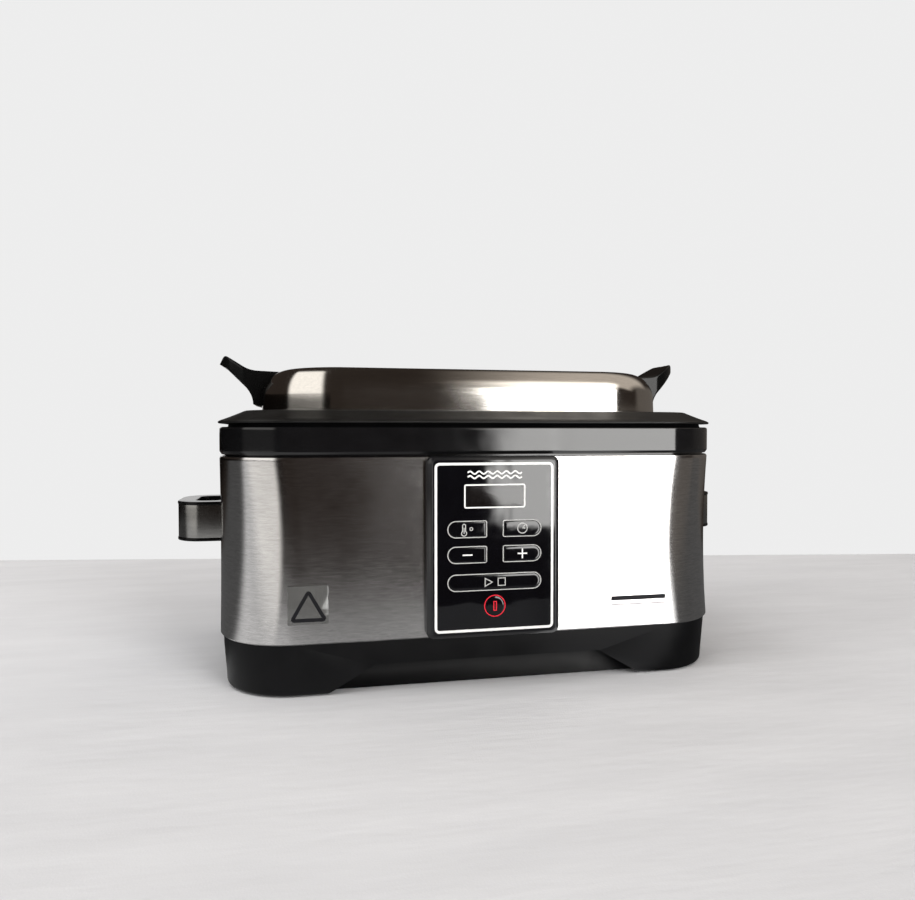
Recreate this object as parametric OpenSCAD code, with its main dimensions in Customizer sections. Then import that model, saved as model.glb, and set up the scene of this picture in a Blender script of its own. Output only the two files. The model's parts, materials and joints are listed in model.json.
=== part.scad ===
// Bench-top sous vide water oven: a heated well in an insulated steel body,
// a lift-out pot with a pouch rack, a domed lid and a front control panel.
// Origin: centre of the footprint on the table. +X right, -Y front, +Z up. Millimetres.

/* [Body] */
// Width of the steel sleeve, without the handles
body_w = 370; // [360:1:380]
// Depth of the steel sleeve
body_d = 230; // [224:1:236]
// Corner radius of the sleeve in plan
body_r = 52; // [50:1:54]
// Height of the sleeve's lower edge
sleeve_bottom = 36; // [34:1:38]
// Height of the sleeve's rolled upper edge
sleeve_top = 160; // [158:1:164]
// Thickness of the sleeve's sheet
sleeve_t = 1; // [0.8:0.1:1.2]
// Height of the upper ring's top face
ring_top = 180; // [179:1:182]

/* [Base] */
// Inset of the base below the sleeve at its top
base_inset = 1.8; // [1:0.2:2.4]
// Taper of the base wall, top to bottom
base_taper = 2.7; // [1:0.1:3.5]
// Height of the base's underside above the table
base_floor = 0.5; // [0.4:0.1:1]
// Half length of the flat top of the arch in the front and rear walls
arch_top_x = 80; // [70:1:85]
// Half length of the arch at its foot
arch_foot_x = 112.7; // [105:0.1:114]
// Height of the arch
arch_h = 19.7; // [15:0.1:21]
// Depth of the recess behind each arch
arch_depth = 15; // [10:1:18]
// Radius of the rubber feet
foot_r = 9; // [6:0.5:10]

/* [Pot] */
// Half length of the pot's cavity
pot_x = 151; // [150:0.5:152]
// Half depth of the pot's cavity
pot_y = 79; // [78:0.5:80]
// Corner radius of the pot's cavity
pot_r = 54; // [52:0.5:55]
// Thickness of the pot's wall
pot_t = 1.5; // [1.2:0.1:1.5]
// Height of the pot's underside
pot_bottom = 45; // [44:0.5:50]
// Height of the flat rim around the pot's mouth
rim_top = 191.5; // [191:0.1:193]

/* [Lid] */
// Height of the lid's lower edge
lid_bottom = 190; // [189.6:0.1:190.4]
// Height of the lid's crown
lid_top = 225.3; // [224:0.1:227]
// Radius of the shoulder between the lid's side and its top
lid_shoulder_r = 20.5; // [18:0.5:21]
// Thickness of the lid's sheet
lid_t = 1.2; // [0.8:0.1:1.5]
// Width of each lid handle
lid_handle_w = 50; // [44:1:54]

/* [Side handles] */
// Reach of the side handles from the body's centre
grip_x = 221; // [218:1:224]
// Half width of the side handles
grip_y = 33; // [31:0.5:35]
// Height of the side handles' underside
grip_z = 95; // [90:0.5:100]
// Thickness of the side handles in height
grip_h = 29.5; // [26:0.5:30]

/* [Control panel] */
// Half width of the panel's bezel at the sleeve
bezel_half_w = 46.6; // [45.5:0.1:48]
// Distance that the bezel stands out from the sleeve
bezel_out = 8; // [7.8:0.1:8.2]
// Half width of the keypad
keypad_half_w = 33; // [32.5:0.1:33.5]
// Half width of the gap between the left and right keys
key_gap_x = 5.5; // [5:0.1:6]
// Height of one key
key_h = 11.7; // [11:0.1:12]
// Radius of the power key
power_r = 7.5; // [7:0.1:8]
// Height of the keys' faces above the panel
key_out = 0.6; // [0.5:0.05:0.7]

/* [Cord inlet] */
// Radius of the bore for the mains cord
cord_bore_r = 4.2; // [3.5:0.1:5]
// Distance of the inlet from the centre line
inlet_x = 104; // [95:1:110]
// Height of the inlet
inlet_z = 56; // [52:1:62]

/* [Pouch rack] */
// Radius of the rack's wire
wire_r = 2; // [1.5:0.1:2.2]
// Number of dividers
dividers = 5; // [3:1:5]
// Distance from one divider to the next
divider_pitch = 56; // [50:1:58]
// Half depth of the rack, to the wires' centre lines
rack_y = 60; // [56:1:60]
// Height of the dividers' top wires
rack_top = 148; // [130:1:150]

/* [Hidden] */
$fn = 64;
front = -body_d / 2;
rear = body_d / 2;
wide = [body_w, body_d, body_r];
// Plan of the pot's outer wall: the well, the heater and the lid share its corner centres
pot_cx = pot_x - pot_r;
pot_cy = pot_y - pot_r;
// Radii about those corner centres
pot_out = pot_r + pot_t;
seat_r = pot_r + 8.3;
lid_r = pot_r + 7.1;
well_r = pot_out + 2.5;
well_t = 1;
heater_r = well_r + well_t + 0.2;
well_floor = pot_bottom - 4;
seat_z = lid_bottom - 2;
// Pot flange: its outer edge and the crease where it meets the flat rim
flange = [body_w + 2, body_d + 3, body_r + 1.25];
flange_drop = 7.2;
crease_in = 18.5;
rim_t = 2;
// Local radii of the upper ring's section, about the sleeve's corner centres
ring_wall = 2.8;
spigot_out = body_r - 5.2;
rib_out = body_r - 18.5;
rib_in = body_r - 21.5;
rib_top = rim_top - rim_t;
// Base tray
tray_r = body_r - base_inset;
tray_wall = 3;
tray_floor = base_floor + 2.5;
arch_wall = 2.5;
boss_r = 5;
boss_at = body_r - 10;
screw_seat_z = 26;
foot_at = [148, 78];
foot_sink = 2.2;
// Panel layers, from the front: key faces, foil, bezel plate, key flanges, switches, board
panel_y = front - bezel_out;
panel_z0 = sleeve_bottom + 0.5;
panel_z1 = sleeve_top;
panel_cz = (panel_z0 + panel_z1) / 2;
panel_h = panel_z1 - panel_z0;
bezel_r = 5;
bezel_boss_x = bezel_half_w - 5;
bezel_boss_z = [panel_z0 + 4.7, panel_z1 - 4.7];
post_x = 31;
foil_t = 0.5;
foil_w = 85.6;
foil_h = 118.4;
plate_back = panel_y + foil_t + 2;
key_flange_y = plate_back + 0.2;
key_flange_t = 0.8;
key_travel = 0.4;
switch_tip = key_flange_y + key_flange_t + key_travel + 0.1;
board_front = front + 1.2;
board_t = 1.6;
board_w = 72;
board_z0 = 49;
board_z1 = 149;
post_z = [board_z0 + 5, board_z1 - 5];
key_inset = 0.9;
key_clear = 0.15;
row_display = 133;
row_upper = 110.7;
row_lower = 93.4;
row_start = 74.5;
row_power = 58.1;
window_w = 43;
window_h = 16.4;
key_cx = (keypad_half_w + key_gap_x) / 2;
key_w = keypad_half_w - key_gap_x;
// Each single key: [x of the centre, z of the centre, side of the round end]
KEY_TEMPERATURE = [-key_cx, row_upper, -1];
KEY_TIMER = [key_cx, row_upper, 1];
KEY_MINUS = [-key_cx, row_lower, -1];
KEY_PLUS = [key_cx, row_lower, 1];
// Side handles
grip_root = body_w / 2;
grip_corner = 20;
grip_arm = 12;
grip_back = 2.5;
lip = 2.3;
skin_depth = 0.8;
skin_sunk = 0.4;
grip_screw = [27, grip_z + grip_h / 2];
// Lid handles
lid_end = pot_cx + lid_r;
lid_screw = [12, 200];
// Cord inlet: its collar ends level with the reach of the keys
inlet_end = -panel_y + key_out;
inlet_len = 16;
inlet_side = 16;
// Rack
rail_z = pot_bottom + pot_t + wire_r + 0.5;
rack_x = (dividers - 1) / 2 * divider_pitch;
rack_end = rack_x + 12;
// Power board on the tray's floor
pcb_z = 11;
pcb_top = pcb_z + board_t;
pcb_holes = [44, 28];

// ---- Shared shapes ----

function arc(cx, cy, r, from, to, steps = 8) =
  [for (i = [0:steps]) let (a = from + (to - from) * i / steps) [cx + r * cos(a), cy + r * sin(a)]];

// Rounded rectangle in the XY plane
module rrect(w, d, r) {
  square([w - 2 * r, d], center = true);
  square([w, d - 2 * r], center = true);
  for (sx = [-1, 1], sy = [-1, 1])
    translate([sx * (w / 2 - r), sy * (d / 2 - r)]) circle(r);
}

module rplate(w, d, r, z0, z1) {
  translate([0, 0, z0]) linear_extrude(z1 - z0) rrect(w, d, r);
}

// Upright rounded rectangle in the XZ plane, from y0 back to y1
module panel_plate(w, h, r, y0, y1, z = panel_cz) {
  translate([0, y1, z]) rotate([90, 0, 0]) linear_extrude(y1 - y0) rrect(w, h, r);
}

// A section swept around a rounded rectangle. The section's x is the distance from the
// corner's centre, so x = r lies on the outline.
module sweep_rrect(w, d, r) {
  cx = w / 2 - r;
  cy = d / 2 - r;
  translate([cx, cy, 0]) rotate_extrude(angle = 90) children();
  translate([-cx, cy, 0]) rotate(90) rotate_extrude(angle = 90) children();
  translate([-cx, -cy, 0]) rotate(180) rotate_extrude(angle = 90) children();
  translate([cx, -cy, 0]) rotate(270) rotate_extrude(angle = 90) children();
  translate([cx, cy, 0]) rotate([90, 0, 0]) linear_extrude(2 * cy) children();
  translate([-cx, -cy, 0]) rotate([90, 0, 180]) linear_extrude(2 * cy) children();
  translate([-cx, cy, 0]) rotate([90, 0, 90]) linear_extrude(2 * cx) children();
  translate([cx, -cy, 0]) rotate([90, 0, -90]) linear_extrude(2 * cx) children();
}

// A section that starts on the corner's centre, swept and filled to one block
module solid_rrect(w, d, r, z0, z1) {
  sweep_rrect(w, d, r) children();
  translate([r - w / 2, r - d / 2, z0]) cube([w - 2 * r, d - 2 * r, z1 - z0]);
}

// Plan sizes of the rounded rectangle that has radius r about the pot's corner centres
function pot_plan(r) = [2 * (pot_cx + r), 2 * (pot_cy + r), r];

module pot_sweep(r) {
  p = pot_plan(r);
  sweep_rrect(p[0], p[1], p[2]) children();
}

module pot_plate(r, z0, z1) {
  p = pot_plan(r);
  rplate(p[0], p[1], p[2], z0, z1);
}

// Pan-head screw along +Z: the head's underside is at z = 0, the shank goes up
module screw(shank_r, shank_len, head_r, head_h) {
  cylinder(r = shank_r, h = shank_len);
  translate([0, 0, -head_h]) cylinder(r = head_r, h = head_h);
}

module at_corners(x, y) {
  for (sx = [-1, 1], sy = [-1, 1]) translate([sx * x, sy * y, 0]) children();
}

// ---- Housing ----

module outer_sleeve() {
  edge = 1.5;
  hem = 13;
  color("silver") difference() {
    sweep_rrect(wide[0], wide[1], wide[2]) polygon(concat(
      [[body_r - hem, sleeve_bottom], [body_r, sleeve_bottom]],
      arc(body_r - edge, sleeve_top - edge, edge, 0, 90, 4),
      [[body_r - 5, sleeve_top], [body_r - 5, sleeve_top - sleeve_t],
       [body_r - sleeve_t, sleeve_top - sleeve_t],
       [body_r - sleeve_t, sleeve_bottom + sleeve_t],
       [body_r - hem, sleeve_bottom + sleeve_t]]));
    // Opening behind the control panel
    panel_plate(board_w + 4, board_z1 - board_z0 + 6, 3, front - 1, front + 3,
      (board_z0 + board_z1) / 2);
    for (sx = [-1, 1], z = bezel_boss_z)
      translate([sx * bezel_boss_x, front - 1, z]) rotate([-90, 0, 0]) cylinder(r = 1.4, h = 3);
    // Screw holes of the side handles
    for (sx = [-1, 1], sy = [-1, 1])
      translate([sx * (grip_root - 3), sy * grip_screw[0], grip_screw[1]])
        rotate([0, sx * 90, 0]) cylinder(r = 2.3, h = 5);
    // The cord inlet's opening is square, so that the gland cannot turn
    translate([inlet_x, 0, 0]) panel_plate(inlet_side + 0.4, inlet_side + 0.4, 2, rear - 3, rear + 2,
      inlet_z);
    at_screw_bosses() cylinder(r = 2, h = 60);
  }
}

// The screw bosses stand on the diagonals of the four corners
module at_screw_bosses() {
  at_corners(body_w / 2 - body_r + boss_at * cos(45), body_d / 2 - body_r + boss_at * sin(45))
    children();
}

module upper_ring() {
  edge = 1.6;
  color("#151517") difference() {
    sweep_rrect(wide[0], wide[1], wide[2]) polygon(concat(
      [[body_r - 8, sleeve_top - 8], [spigot_out, sleeve_top - 8], [spigot_out, sleeve_top],
       [body_r - 3.5, sleeve_top], [body_r - 3.5, sleeve_top + 1], [body_r - 1.5, sleeve_top + 1],
       [body_r - 0.4, sleeve_top + 1.8], [body_r, sleeve_top + 3.3]],
      arc(body_r - edge, ring_top - edge, edge, 0, 90, 4),
      [[rib_out, ring_top], [rib_out, rib_top], [rib_in, rib_top], [rib_in, ring_top - 3],
       [body_r - ring_wall, ring_top - 3], [body_r - ring_wall, sleeve_top + 3.8],
       [body_r - 8, sleeve_top + 3.8]]));
    at_well_screws() translate([0, 0, ring_top - 4]) cylinder(r = 1.3, h = 3.4);
  }
}

module tray_solid(shrink, z0, z1) {
  top_x = tray_r - shrink;
  low_x = top_x - base_taper;
  edge = 3;
  solid_rrect(wide[0], wide[1], wide[2], z0, z1)
    polygon(concat([[0, z0]], arc(low_x - edge, z0 + edge, edge, -90, 0, 4),
      [[top_x, sleeve_bottom], [top_x, z1], [0, z1]]));
}

// The arch in the front wall, widened by g and deepened by the same amount
module arch_block(g) {
  rise = arch_h - base_floor;
  run = arch_foot_x - arch_top_x;
  shift = g * norm([rise, run]) / rise;
  foot_x = arch_foot_x + shift + run / rise;
  top_x = arch_top_x + shift - g * run / rise;
  for (a = [0, 180]) rotate(a)
    translate([0, front + arch_depth + g, 0]) rotate([90, 0, 0]) linear_extrude(arch_depth + g + 9)
      polygon([[-foot_x, base_floor - 1], [-top_x, arch_h + g], [top_x, arch_h + g],
        [foot_x, base_floor - 1]]);
}

module base_tray() {
  color("#222225") difference() {
    union() {
      difference() {
        tray_solid(0, base_floor, sleeve_bottom);
        tray_solid(tray_wall, tray_floor, sleeve_bottom + 1);
      }
      intersection() {
        tray_solid(0, base_floor, sleeve_bottom);
        arch_block(arch_wall);
      }
      at_screw_bosses() translate([0, 0, base_floor])
        cylinder(r = boss_r, h = sleeve_bottom - base_floor);
    }
    arch_block(0);
    at_screw_bosses() {
      translate([0, 0, -1]) cylinder(r = 3.6, h = screw_seat_z + 1);
      cylinder(r = 1.9, h = 60);
    }
    at_corners(foot_at[0], foot_at[1]) translate([0, 0, -1]) cylinder(r = foot_r, h = foot_sink + 1);
    // Cooling slots under the power board
    for (i = [-4:4]) translate([i * 9 - 1.5, -35, -1]) cube([3, 70, 6]);
  }
}

module foot_pads() {
  color("#2a2a2a") at_corners(foot_at[0], foot_at[1]) cylinder(r = foot_r, h = foot_sink);
}

module base_screws() {
  color("gray") at_screw_bosses() translate([0, 0, screw_seat_z]) screw(1.8, 15, 3.4, 2.2);
}

module inner_well() {
  floor_r = 14;
  color("#b9bcc0") difference() {
    union() {
      pot_sweep(well_r + well_t) polygon(concat(
        [[well_r, ring_top - 3], [well_r, well_floor + floor_r + 1]],
        arc(well_r - floor_r, well_floor + floor_r + 1, floor_r, 0, -90),
        [[well_r - floor_r - 12, well_floor + 1], [well_r - floor_r - 12, well_floor]],
        arc(well_r - floor_r, well_floor + floor_r + 1, floor_r + 1, -90, 0),
        [[well_r + well_t, ring_top - 3]]));
      pot_plate(well_r - floor_r - 10, well_floor, well_floor + well_t);
      difference() {
        rplate(body_w - 24, body_d - 24, body_r - 12, ring_top - 4, ring_top - 3);
        pot_plate(well_r, ring_top - 5, ring_top);
      }
    }
    translate([0, 0, well_floor - 1]) cylinder(r = 5.3, h = 3);
    at_well_screws() translate([0, 0, ring_top - 5]) cylinder(r = 1.9, h = 3);
  }
}

// Six screws clamp the well's flange to the underside of the upper ring
module at_well_screws() {
  for (sy = [-1, 1], x = [-110, 0, 110])
    translate([x, sy * (body_d / 2 - 16), 0]) children();
}

module well_screws() {
  color("gray") at_well_screws() translate([0, 0, ring_top - 4]) screw(1.3, 3.3, 3, 1.8);
}

module band_heater() {
  color("#8a6a3a") pot_sweep(heater_r + 2)
    polygon([[heater_r, 62], [heater_r + 2, 62], [heater_r + 2, 92], [heater_r, 92]]);
}

module insulation_blanket() {
  low = 46;
  color("#e8e0c8") difference() {
    sweep_rrect(wide[0], wide[1], wide[2])
      polygon([[body_r - 18, low], [body_r - 8.5, low], [body_r - 8.5, 148], [body_r - 18, 148]]);
    // Passage for the cord
    translate([inlet_x, rear - 30, inlet_z]) rotate([-90, 0, 0]) cylinder(r = 9, h = 30);
  }
}

module temperature_sensor() {
  color("silver") {
    translate([0, 0, well_floor - 10]) cylinder(r = 5, h = 10 + pot_bottom - well_floor - 0.3);
    translate([0, 0, well_floor - 1.6]) cylinder(r = 9, h = 1.6);
  }
}

module thermal_fuse() {
  color("ivory") {
    translate([60, 0, well_floor - 5]) cylinder(r = 7, h = 5);
    translate([48, -4, well_floor - 1.2]) cube([24, 8, 1.2]);
  }
}

// ---- Electronics under the well ----

module power_board() {
  color("#2f6b3c") difference() {
    translate([-50, -34, pcb_z]) cube([100, 68, board_t]);
    at_corners(pcb_holes[0], pcb_holes[1]) translate([0, 0, pcb_z - 1]) cylinder(r = 1.8, h = 4);
  }
}

module board_standoffs() {
  color("#dcdcd2") at_corners(pcb_holes[0], pcb_holes[1]) {
    translate([0, 0, tray_floor]) cylinder(r = 3.5, h = pcb_z - tray_floor);
    translate([0, 0, pcb_z]) cylinder(r = 1.7, h = board_t + 1.5);
  }
}

module power_relay() {
  color("#20303a") translate([-38, -14, pcb_top]) cube([19, 28, 15]);
}

module board_capacitor() {
  color("#26262a") translate([0, 14, pcb_top]) cylinder(r = 6.5, h = 15);
}

module board_transformer() {
  color("#c8a24a") {
    translate([12, -24, pcb_top]) cube([22, 18, 15]);
    translate([16, -27, pcb_top + 4]) cube([14, 24, 8]);
  }
}

module terminal_block() {
  color("#3f7f54") difference() {
    translate([20, 12, pcb_top]) cube([15, 10, 11]);
    for (i = [0:2]) translate([22.5 + i * 5, 17, pcb_top + 5]) cylinder(r = 1.5, h = 8);
  }
}

// ---- Cord inlet in the rear ----

module cord_gland() {
  color("#1c1c1e") translate([inlet_x, 0, inlet_z]) rotate([-90, 0, 0]) difference() {
    union() {
      translate([0, 0, inlet_end - inlet_len]) linear_extrude(inlet_len)
        rrect(inlet_side, inlet_side, 2);
      translate([0, 0, rear]) cylinder(r = 14, h = 3.6);
      translate([0, 0, rear + 3.6]) cylinder(r = 10, h = inlet_end - rear - 3.6);
    }
    translate([0, 0, inlet_end - inlet_len - 1]) cylinder(r = cord_bore_r, h = inlet_len + 2);
  }
}

module gland_lock_plate() {
  plate = 26;
  color("#2c2c2e") difference() {
    translate([inlet_x, 0, 0]) panel_plate(plate, plate, 3, rear - sleeve_t - 3, rear - sleeve_t, inlet_z);
    translate([inlet_x, 0, 0]) panel_plate(inlet_side, inlet_side, 2, rear - 6, rear, inlet_z);
  }
}

// ---- Side handles ----

// Plan outline of the right side handle, drawn in by g all round its outer edge
module grip_outline(g) {
  x1 = grip_x - g;
  y1 = grip_y - g;
  r = grip_corner - g;
  translate([grip_root, -y1]) square([x1 - r - grip_root, 2 * y1]);
  translate([grip_root, -y1 + r]) square([x1 - grip_root, 2 * (y1 - r)]);
  for (sy = [-1, 1]) intersection() {
    translate([x1 - r, sy * (y1 - r)]) circle(r);
    translate([grip_root, -grip_y]) square([grip_x - grip_root, 2 * grip_y]);
  }
}

module grip_core() {
  hole_x0 = grip_root + grip_back;
  hole_x1 = grip_x - 13;
  difference() {
    union() {
      for (z = [grip_z, grip_z + grip_h - lip])
        translate([0, 0, z]) linear_extrude(lip) grip_outline(0);
      translate([0, 0, grip_z]) linear_extrude(grip_h) grip_outline(skin_depth + skin_sunk);
    }
    translate([(hole_x0 + hole_x1) / 2, 0, grip_z - 1]) linear_extrude(grip_h + 2)
      rrect(hole_x1 - hole_x0, 2 * (grip_y - grip_arm), 8);
    for (sy = [-1, 1]) translate([grip_root - 1, sy * grip_screw[0], grip_screw[1]])
      rotate([0, 90, 0]) cylinder(r = 1.9, h = 14);
  }
}

module grip_skin() {
  translate([0, 0, grip_z + lip]) linear_extrude(grip_h - 2 * lip) difference() {
    grip_outline(skin_sunk);
    grip_outline(skin_depth + skin_sunk);
  }
}

module side_handle_left() {
  color("#161618") mirror([1, 0, 0]) grip_core();
}

module side_handle_right() {
  color("#161618") grip_core();
}

module handle_skin_left() {
  color("silver") mirror([1, 0, 0]) grip_skin();
}

module handle_skin_right() {
  color("silver") grip_skin();
}

module side_handle_screws() {
  color("gray") for (sx = [-1, 1], sy = [-1, 1])
    translate([sx * (grip_root - sleeve_t), sy * grip_screw[0], grip_screw[1]])
      rotate([0, sx * 90, 0]) screw(1.8, 12, 4, 2.4);
}

// ---- Control panel ----

// D-shaped key: a half-round outer end and a nearly square inner end, drawn in by g
module key_outline(side, g) {
  w = key_w - 2 * g;
  r = key_h / 2 - g;
  small = 1.4;
  translate([side * (w / 2 - r), 0]) circle(r);
  translate([side > 0 ? small - w / 2 : r - w / 2, -r]) square([w - r - small, 2 * r]);
  translate([side > 0 ? -w / 2 : r - w / 2, small - r]) square([w - r, 2 * (r - small)]);
  for (sy = [-1, 1]) translate([-side * (w / 2 - small), sy * (r - small)]) circle(small);
}

// Start key: round at both ends
module start_outline(g) {
  r = key_h / 2 - g;
  square([2 * (keypad_half_w - g - r), 2 * r], center = true);
  for (sx = [-1, 1]) translate([sx * (keypad_half_w - g - r), 0]) circle(r);
}

// Places a flat outline on the panel: from y0 back to y1, about x and z
module on_panel(x, z, y0, y1) {
  translate([x, y1, z]) rotate([90, 0, 0]) linear_extrude(y1 - y0) children();
}

module key_openings(y0, y1) {
  g = key_inset - key_clear;
  for (k = [KEY_TEMPERATURE, KEY_TIMER, KEY_MINUS, KEY_PLUS])
    on_panel(k[0], k[1], y0, y1) key_outline(k[2], g);
  on_panel(0, row_start, y0, y1) start_outline(g);
  on_panel(0, row_power, y0, y1) circle(power_r - g);
}

module panel_bezel() {
  color("#18181a") difference() {
    union() {
      difference() {
        translate([0, front, panel_cz]) rotate([90, 0, 0])
          solid_rrect(2 * bezel_half_w, panel_h, bezel_r, 0, bezel_out) polygon([[0, 0], [bezel_r, 0],
            [bezel_r, 5], [bezel_r - 0.8, 6.6], [bezel_r - 2.6, bezel_out], [0, bezel_out]]);
        panel_plate(2 * bezel_half_w - 5, panel_h - 5, 3, plate_back, front + 1);
        panel_plate(foil_w, foil_h, 3, panel_y - 1, panel_y + foil_t);
      }
      for (sx = [-1, 1], z = post_z)
        translate([sx * post_x, board_front, z]) rotate([90, 0, 0])
          cylinder(r = 3, h = board_front - plate_back);
      for (sx = [-1, 1], z = bezel_boss_z)
        translate([sx * bezel_boss_x, front, z]) rotate([90, 0, 0])
          cylinder(r = 3, h = front - plate_back);
    }
    key_openings(panel_y - 1, plate_back + 1);
    on_panel(0, row_display, panel_y - 1, plate_back + 1) rrect(window_w, window_h, 1.5);
    for (sx = [-1, 1], z = post_z)
      translate([sx * post_x, board_front + 1, z]) rotate([90, 0, 0]) cylinder(r = 1.2, h = 6);
    for (sx = [-1, 1], z = bezel_boss_z)
      translate([sx * bezel_boss_x, front + 1, z]) rotate([90, 0, 0]) cylinder(r = 1.2, h = 5.5);
  }
}

module bezel_screws() {
  color("gray") for (sx = [-1, 1], z = bezel_boss_z)
    translate([sx * bezel_boss_x, front + sleeve_t, z]) rotate([90, 0, 0]) screw(1.2, 5, 2.6, 1.8);
}

module keypad_foil() {
  color("#0c0c0e") difference() {
    panel_plate(foil_w, foil_h, 3, panel_y, panel_y + foil_t);
    key_openings(panel_y - 1, panel_y + 2);
    on_panel(0, row_display, panel_y - 1, panel_y + 2) rrect(window_w, window_h, 1.5);
  }
}

module display_window() {
  color([0.1, 0.1, 0.12, 0.6]) on_panel(0, row_display, panel_y, panel_y + 1.5)
    rrect(window_w, window_h, 1.5);
}

module control_board() {
  color("#2f6b3c") difference() {
    translate([-board_w / 2, board_front, board_z0]) cube([board_w, board_t, board_z1 - board_z0]);
    for (sx = [-1, 1], z = post_z)
      translate([sx * post_x, board_front - 1, z]) rotate([-90, 0, 0]) cylinder(r = 1.5, h = 4);
  }
}

module control_board_screws() {
  color("gray") for (sx = [-1, 1], z = post_z)
    translate([sx * post_x, board_front + board_t, z]) rotate([90, 0, 0]) screw(1.2, 6, 2.6, 1.8);
}

module led_display() {
  color("#e6e6e6") translate([-20, plate_back - 0.6, row_display - 7.5])
    cube([40, board_front - plate_back + 0.6, 15]);
}

module tact_switches() {
  at = [[-key_cx, row_upper], [key_cx, row_upper], [-key_cx, row_lower], [key_cx, row_lower],
        [0, row_start], [0, row_power]];
  color("#3a3a3a") for (p = at) translate([p[0], 0, p[1]]) {
    translate([-3, board_front - 3.4, -3]) cube([6, 3.4, 6]);
    translate([0, board_front - 3.4, 0]) rotate([90, 0, 0])
      cylinder(r = 1.7, h = board_front - 3.4 - switch_tip);
  }
}

module single_key(k) {
  color("#1a1a1d") {
    on_panel(k[0], k[1], panel_y - key_out, key_flange_y + key_flange_t) key_outline(k[2], key_inset);
    on_panel(k[0], k[1], key_flange_y, key_flange_y + key_flange_t) key_outline(k[2], 0.2);
  }
}

module key_temperature() { single_key(KEY_TEMPERATURE); }
module key_timer() { single_key(KEY_TIMER); }
module key_minus() { single_key(KEY_MINUS); }
module key_plus() { single_key(KEY_PLUS); }

module key_start_stop() {
  color("#1a1a1d") {
    on_panel(0, row_start, panel_y - key_out, key_flange_y + key_flange_t) start_outline(key_inset);
    on_panel(0, row_start, key_flange_y, key_flange_y + key_flange_t) start_outline(0.2);
  }
}

module key_power() {
  color("#1a1a1d") {
    on_panel(0, row_power, panel_y - key_out, key_flange_y + key_flange_t) circle(power_r - key_inset);
    on_panel(0, row_power, key_flange_y, key_flange_y + key_flange_t) circle(power_r - 0.2);
  }
}

// ---- Pot and rack ----

module cooking_pot() {
  floor_r = 12;
  crease = [flange[0] - 2 * crease_in, flange[1] - 2 * crease_in, flange[2] - crease_in];
  color("#2b2b2d") {
    // Sloping flange
    sweep_rrect(flange[0], flange[1], flange[2]) polygon([
      [crease[2] - 1, rim_top], [crease[2], rim_top], [flange[2], rim_top - flange_drop],
      [flange[2], rim_top - flange_drop - rim_t], [crease[2], rim_top - rim_t],
      [crease[2] - 1, rim_top - rim_t]]);
    // Flat rim
    difference() {
      rplate(crease[0], crease[1], crease[2], rim_top - rim_t, rim_top);
      pot_plate(seat_r, rim_top - 4, rim_top + 1);
    }
    // Seat of the lid, wall and rounded floor
    pot_sweep(pot_out) polygon(concat(
      [[pot_r, seat_z], [seat_r, seat_z], [seat_r, rim_top], [seat_r + 2, rim_top],
       [seat_r + 2, rim_top - rim_t], [seat_r + pot_t, rim_top - rim_t],
       [seat_r + pot_t, seat_z - pot_t], [pot_out, seat_z - pot_t]],
      arc(pot_out - floor_r, pot_bottom + floor_r, floor_r, 0, -90),
      [[pot_out - floor_r - 12, pot_bottom], [pot_out - floor_r - 12, pot_bottom + pot_t]],
      arc(pot_out - floor_r, pot_bottom + floor_r, floor_r - pot_t, -90, 0)));
    pot_plate(pot_out - floor_r - 10, pot_bottom, pot_bottom + pot_t);
  }
}

module wire(from, to) {
  d = to - from;
  len = norm(d);
  translate(from) rotate([0, acos(d[2] / len), atan2(d[1], d[0])])
    cylinder(r = wire_r, h = len, $fn = 24);
}

module pouch_rack() {
  color("silver") {
    for (sy = [-1, 1]) {
      wire([-rack_end, sy * rack_y, rail_z], [rack_end, sy * rack_y, rail_z]);
      for (sx = [-1, 1]) translate([sx * rack_end, sy * rack_y, rail_z]) sphere(wire_r, $fn = 24);
    }
    for (sx = [-1, 1]) wire([sx * rack_end, -rack_y, rail_z], [sx * rack_end, rack_y, rail_z]);
    for (i = [0:dividers - 1]) {
      x = -rack_x + i * divider_pitch;
      wire([x, -rack_y, rack_top], [x, rack_y, rack_top]);
      for (sy = [-1, 1]) {
        wire([x, sy * rack_y, rail_z], [x, sy * rack_y, rack_top]);
        translate([x, sy * rack_y, rack_top]) sphere(wire_r, $fn = 24);
      }
    }
  }
}

// ---- Lid ----

// The lid's outer form drawn in by t, as one solid block down to z0
module lid_block(t, z0) {
  side_top = lid_r - 0.5 - t;
  shoulder_z = lid_top - 1.8 - lid_shoulder_r;
  p = pot_plan(lid_r);
  solid_rrect(p[0], p[1], p[2], z0, lid_top - t) polygon(concat(
    [[0, z0], [lid_r - t, z0]],
    arc(side_top - lid_shoulder_r + t, shoulder_z, lid_shoulder_r - t, 0, 84),
    [[0, lid_top - t]]));
}

module lid_dome() {
  color("#c9cbcd") difference() {
    union() {
      difference() {
        lid_block(0, lid_bottom);
        lid_block(lid_t, lid_bottom - 1);
      }
      pot_sweep(lid_r) polygon([[lid_r - 6, lid_bottom], [lid_r - 0.6, lid_bottom],
        [lid_r - 0.6, lid_bottom + lid_t], [lid_r - 6, lid_bottom + lid_t]]);
    }
    for (sx = [-1, 1], sy = [-1, 1])
      translate([sx * (lid_end - 8), sy * lid_screw[0], lid_screw[1]])
        rotate([0, sx * 90, 0]) cylinder(r = 1.7, h = 12);
  }
}

module lid_gasket() {
  color("#3a3a3a") pot_sweep(lid_r)
    polygon([[lid_r - 5.5, seat_z], [lid_r - 1, seat_z], [lid_r - 1, lid_bottom],
      [lid_r - 5.5, lid_bottom]]);
}

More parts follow.
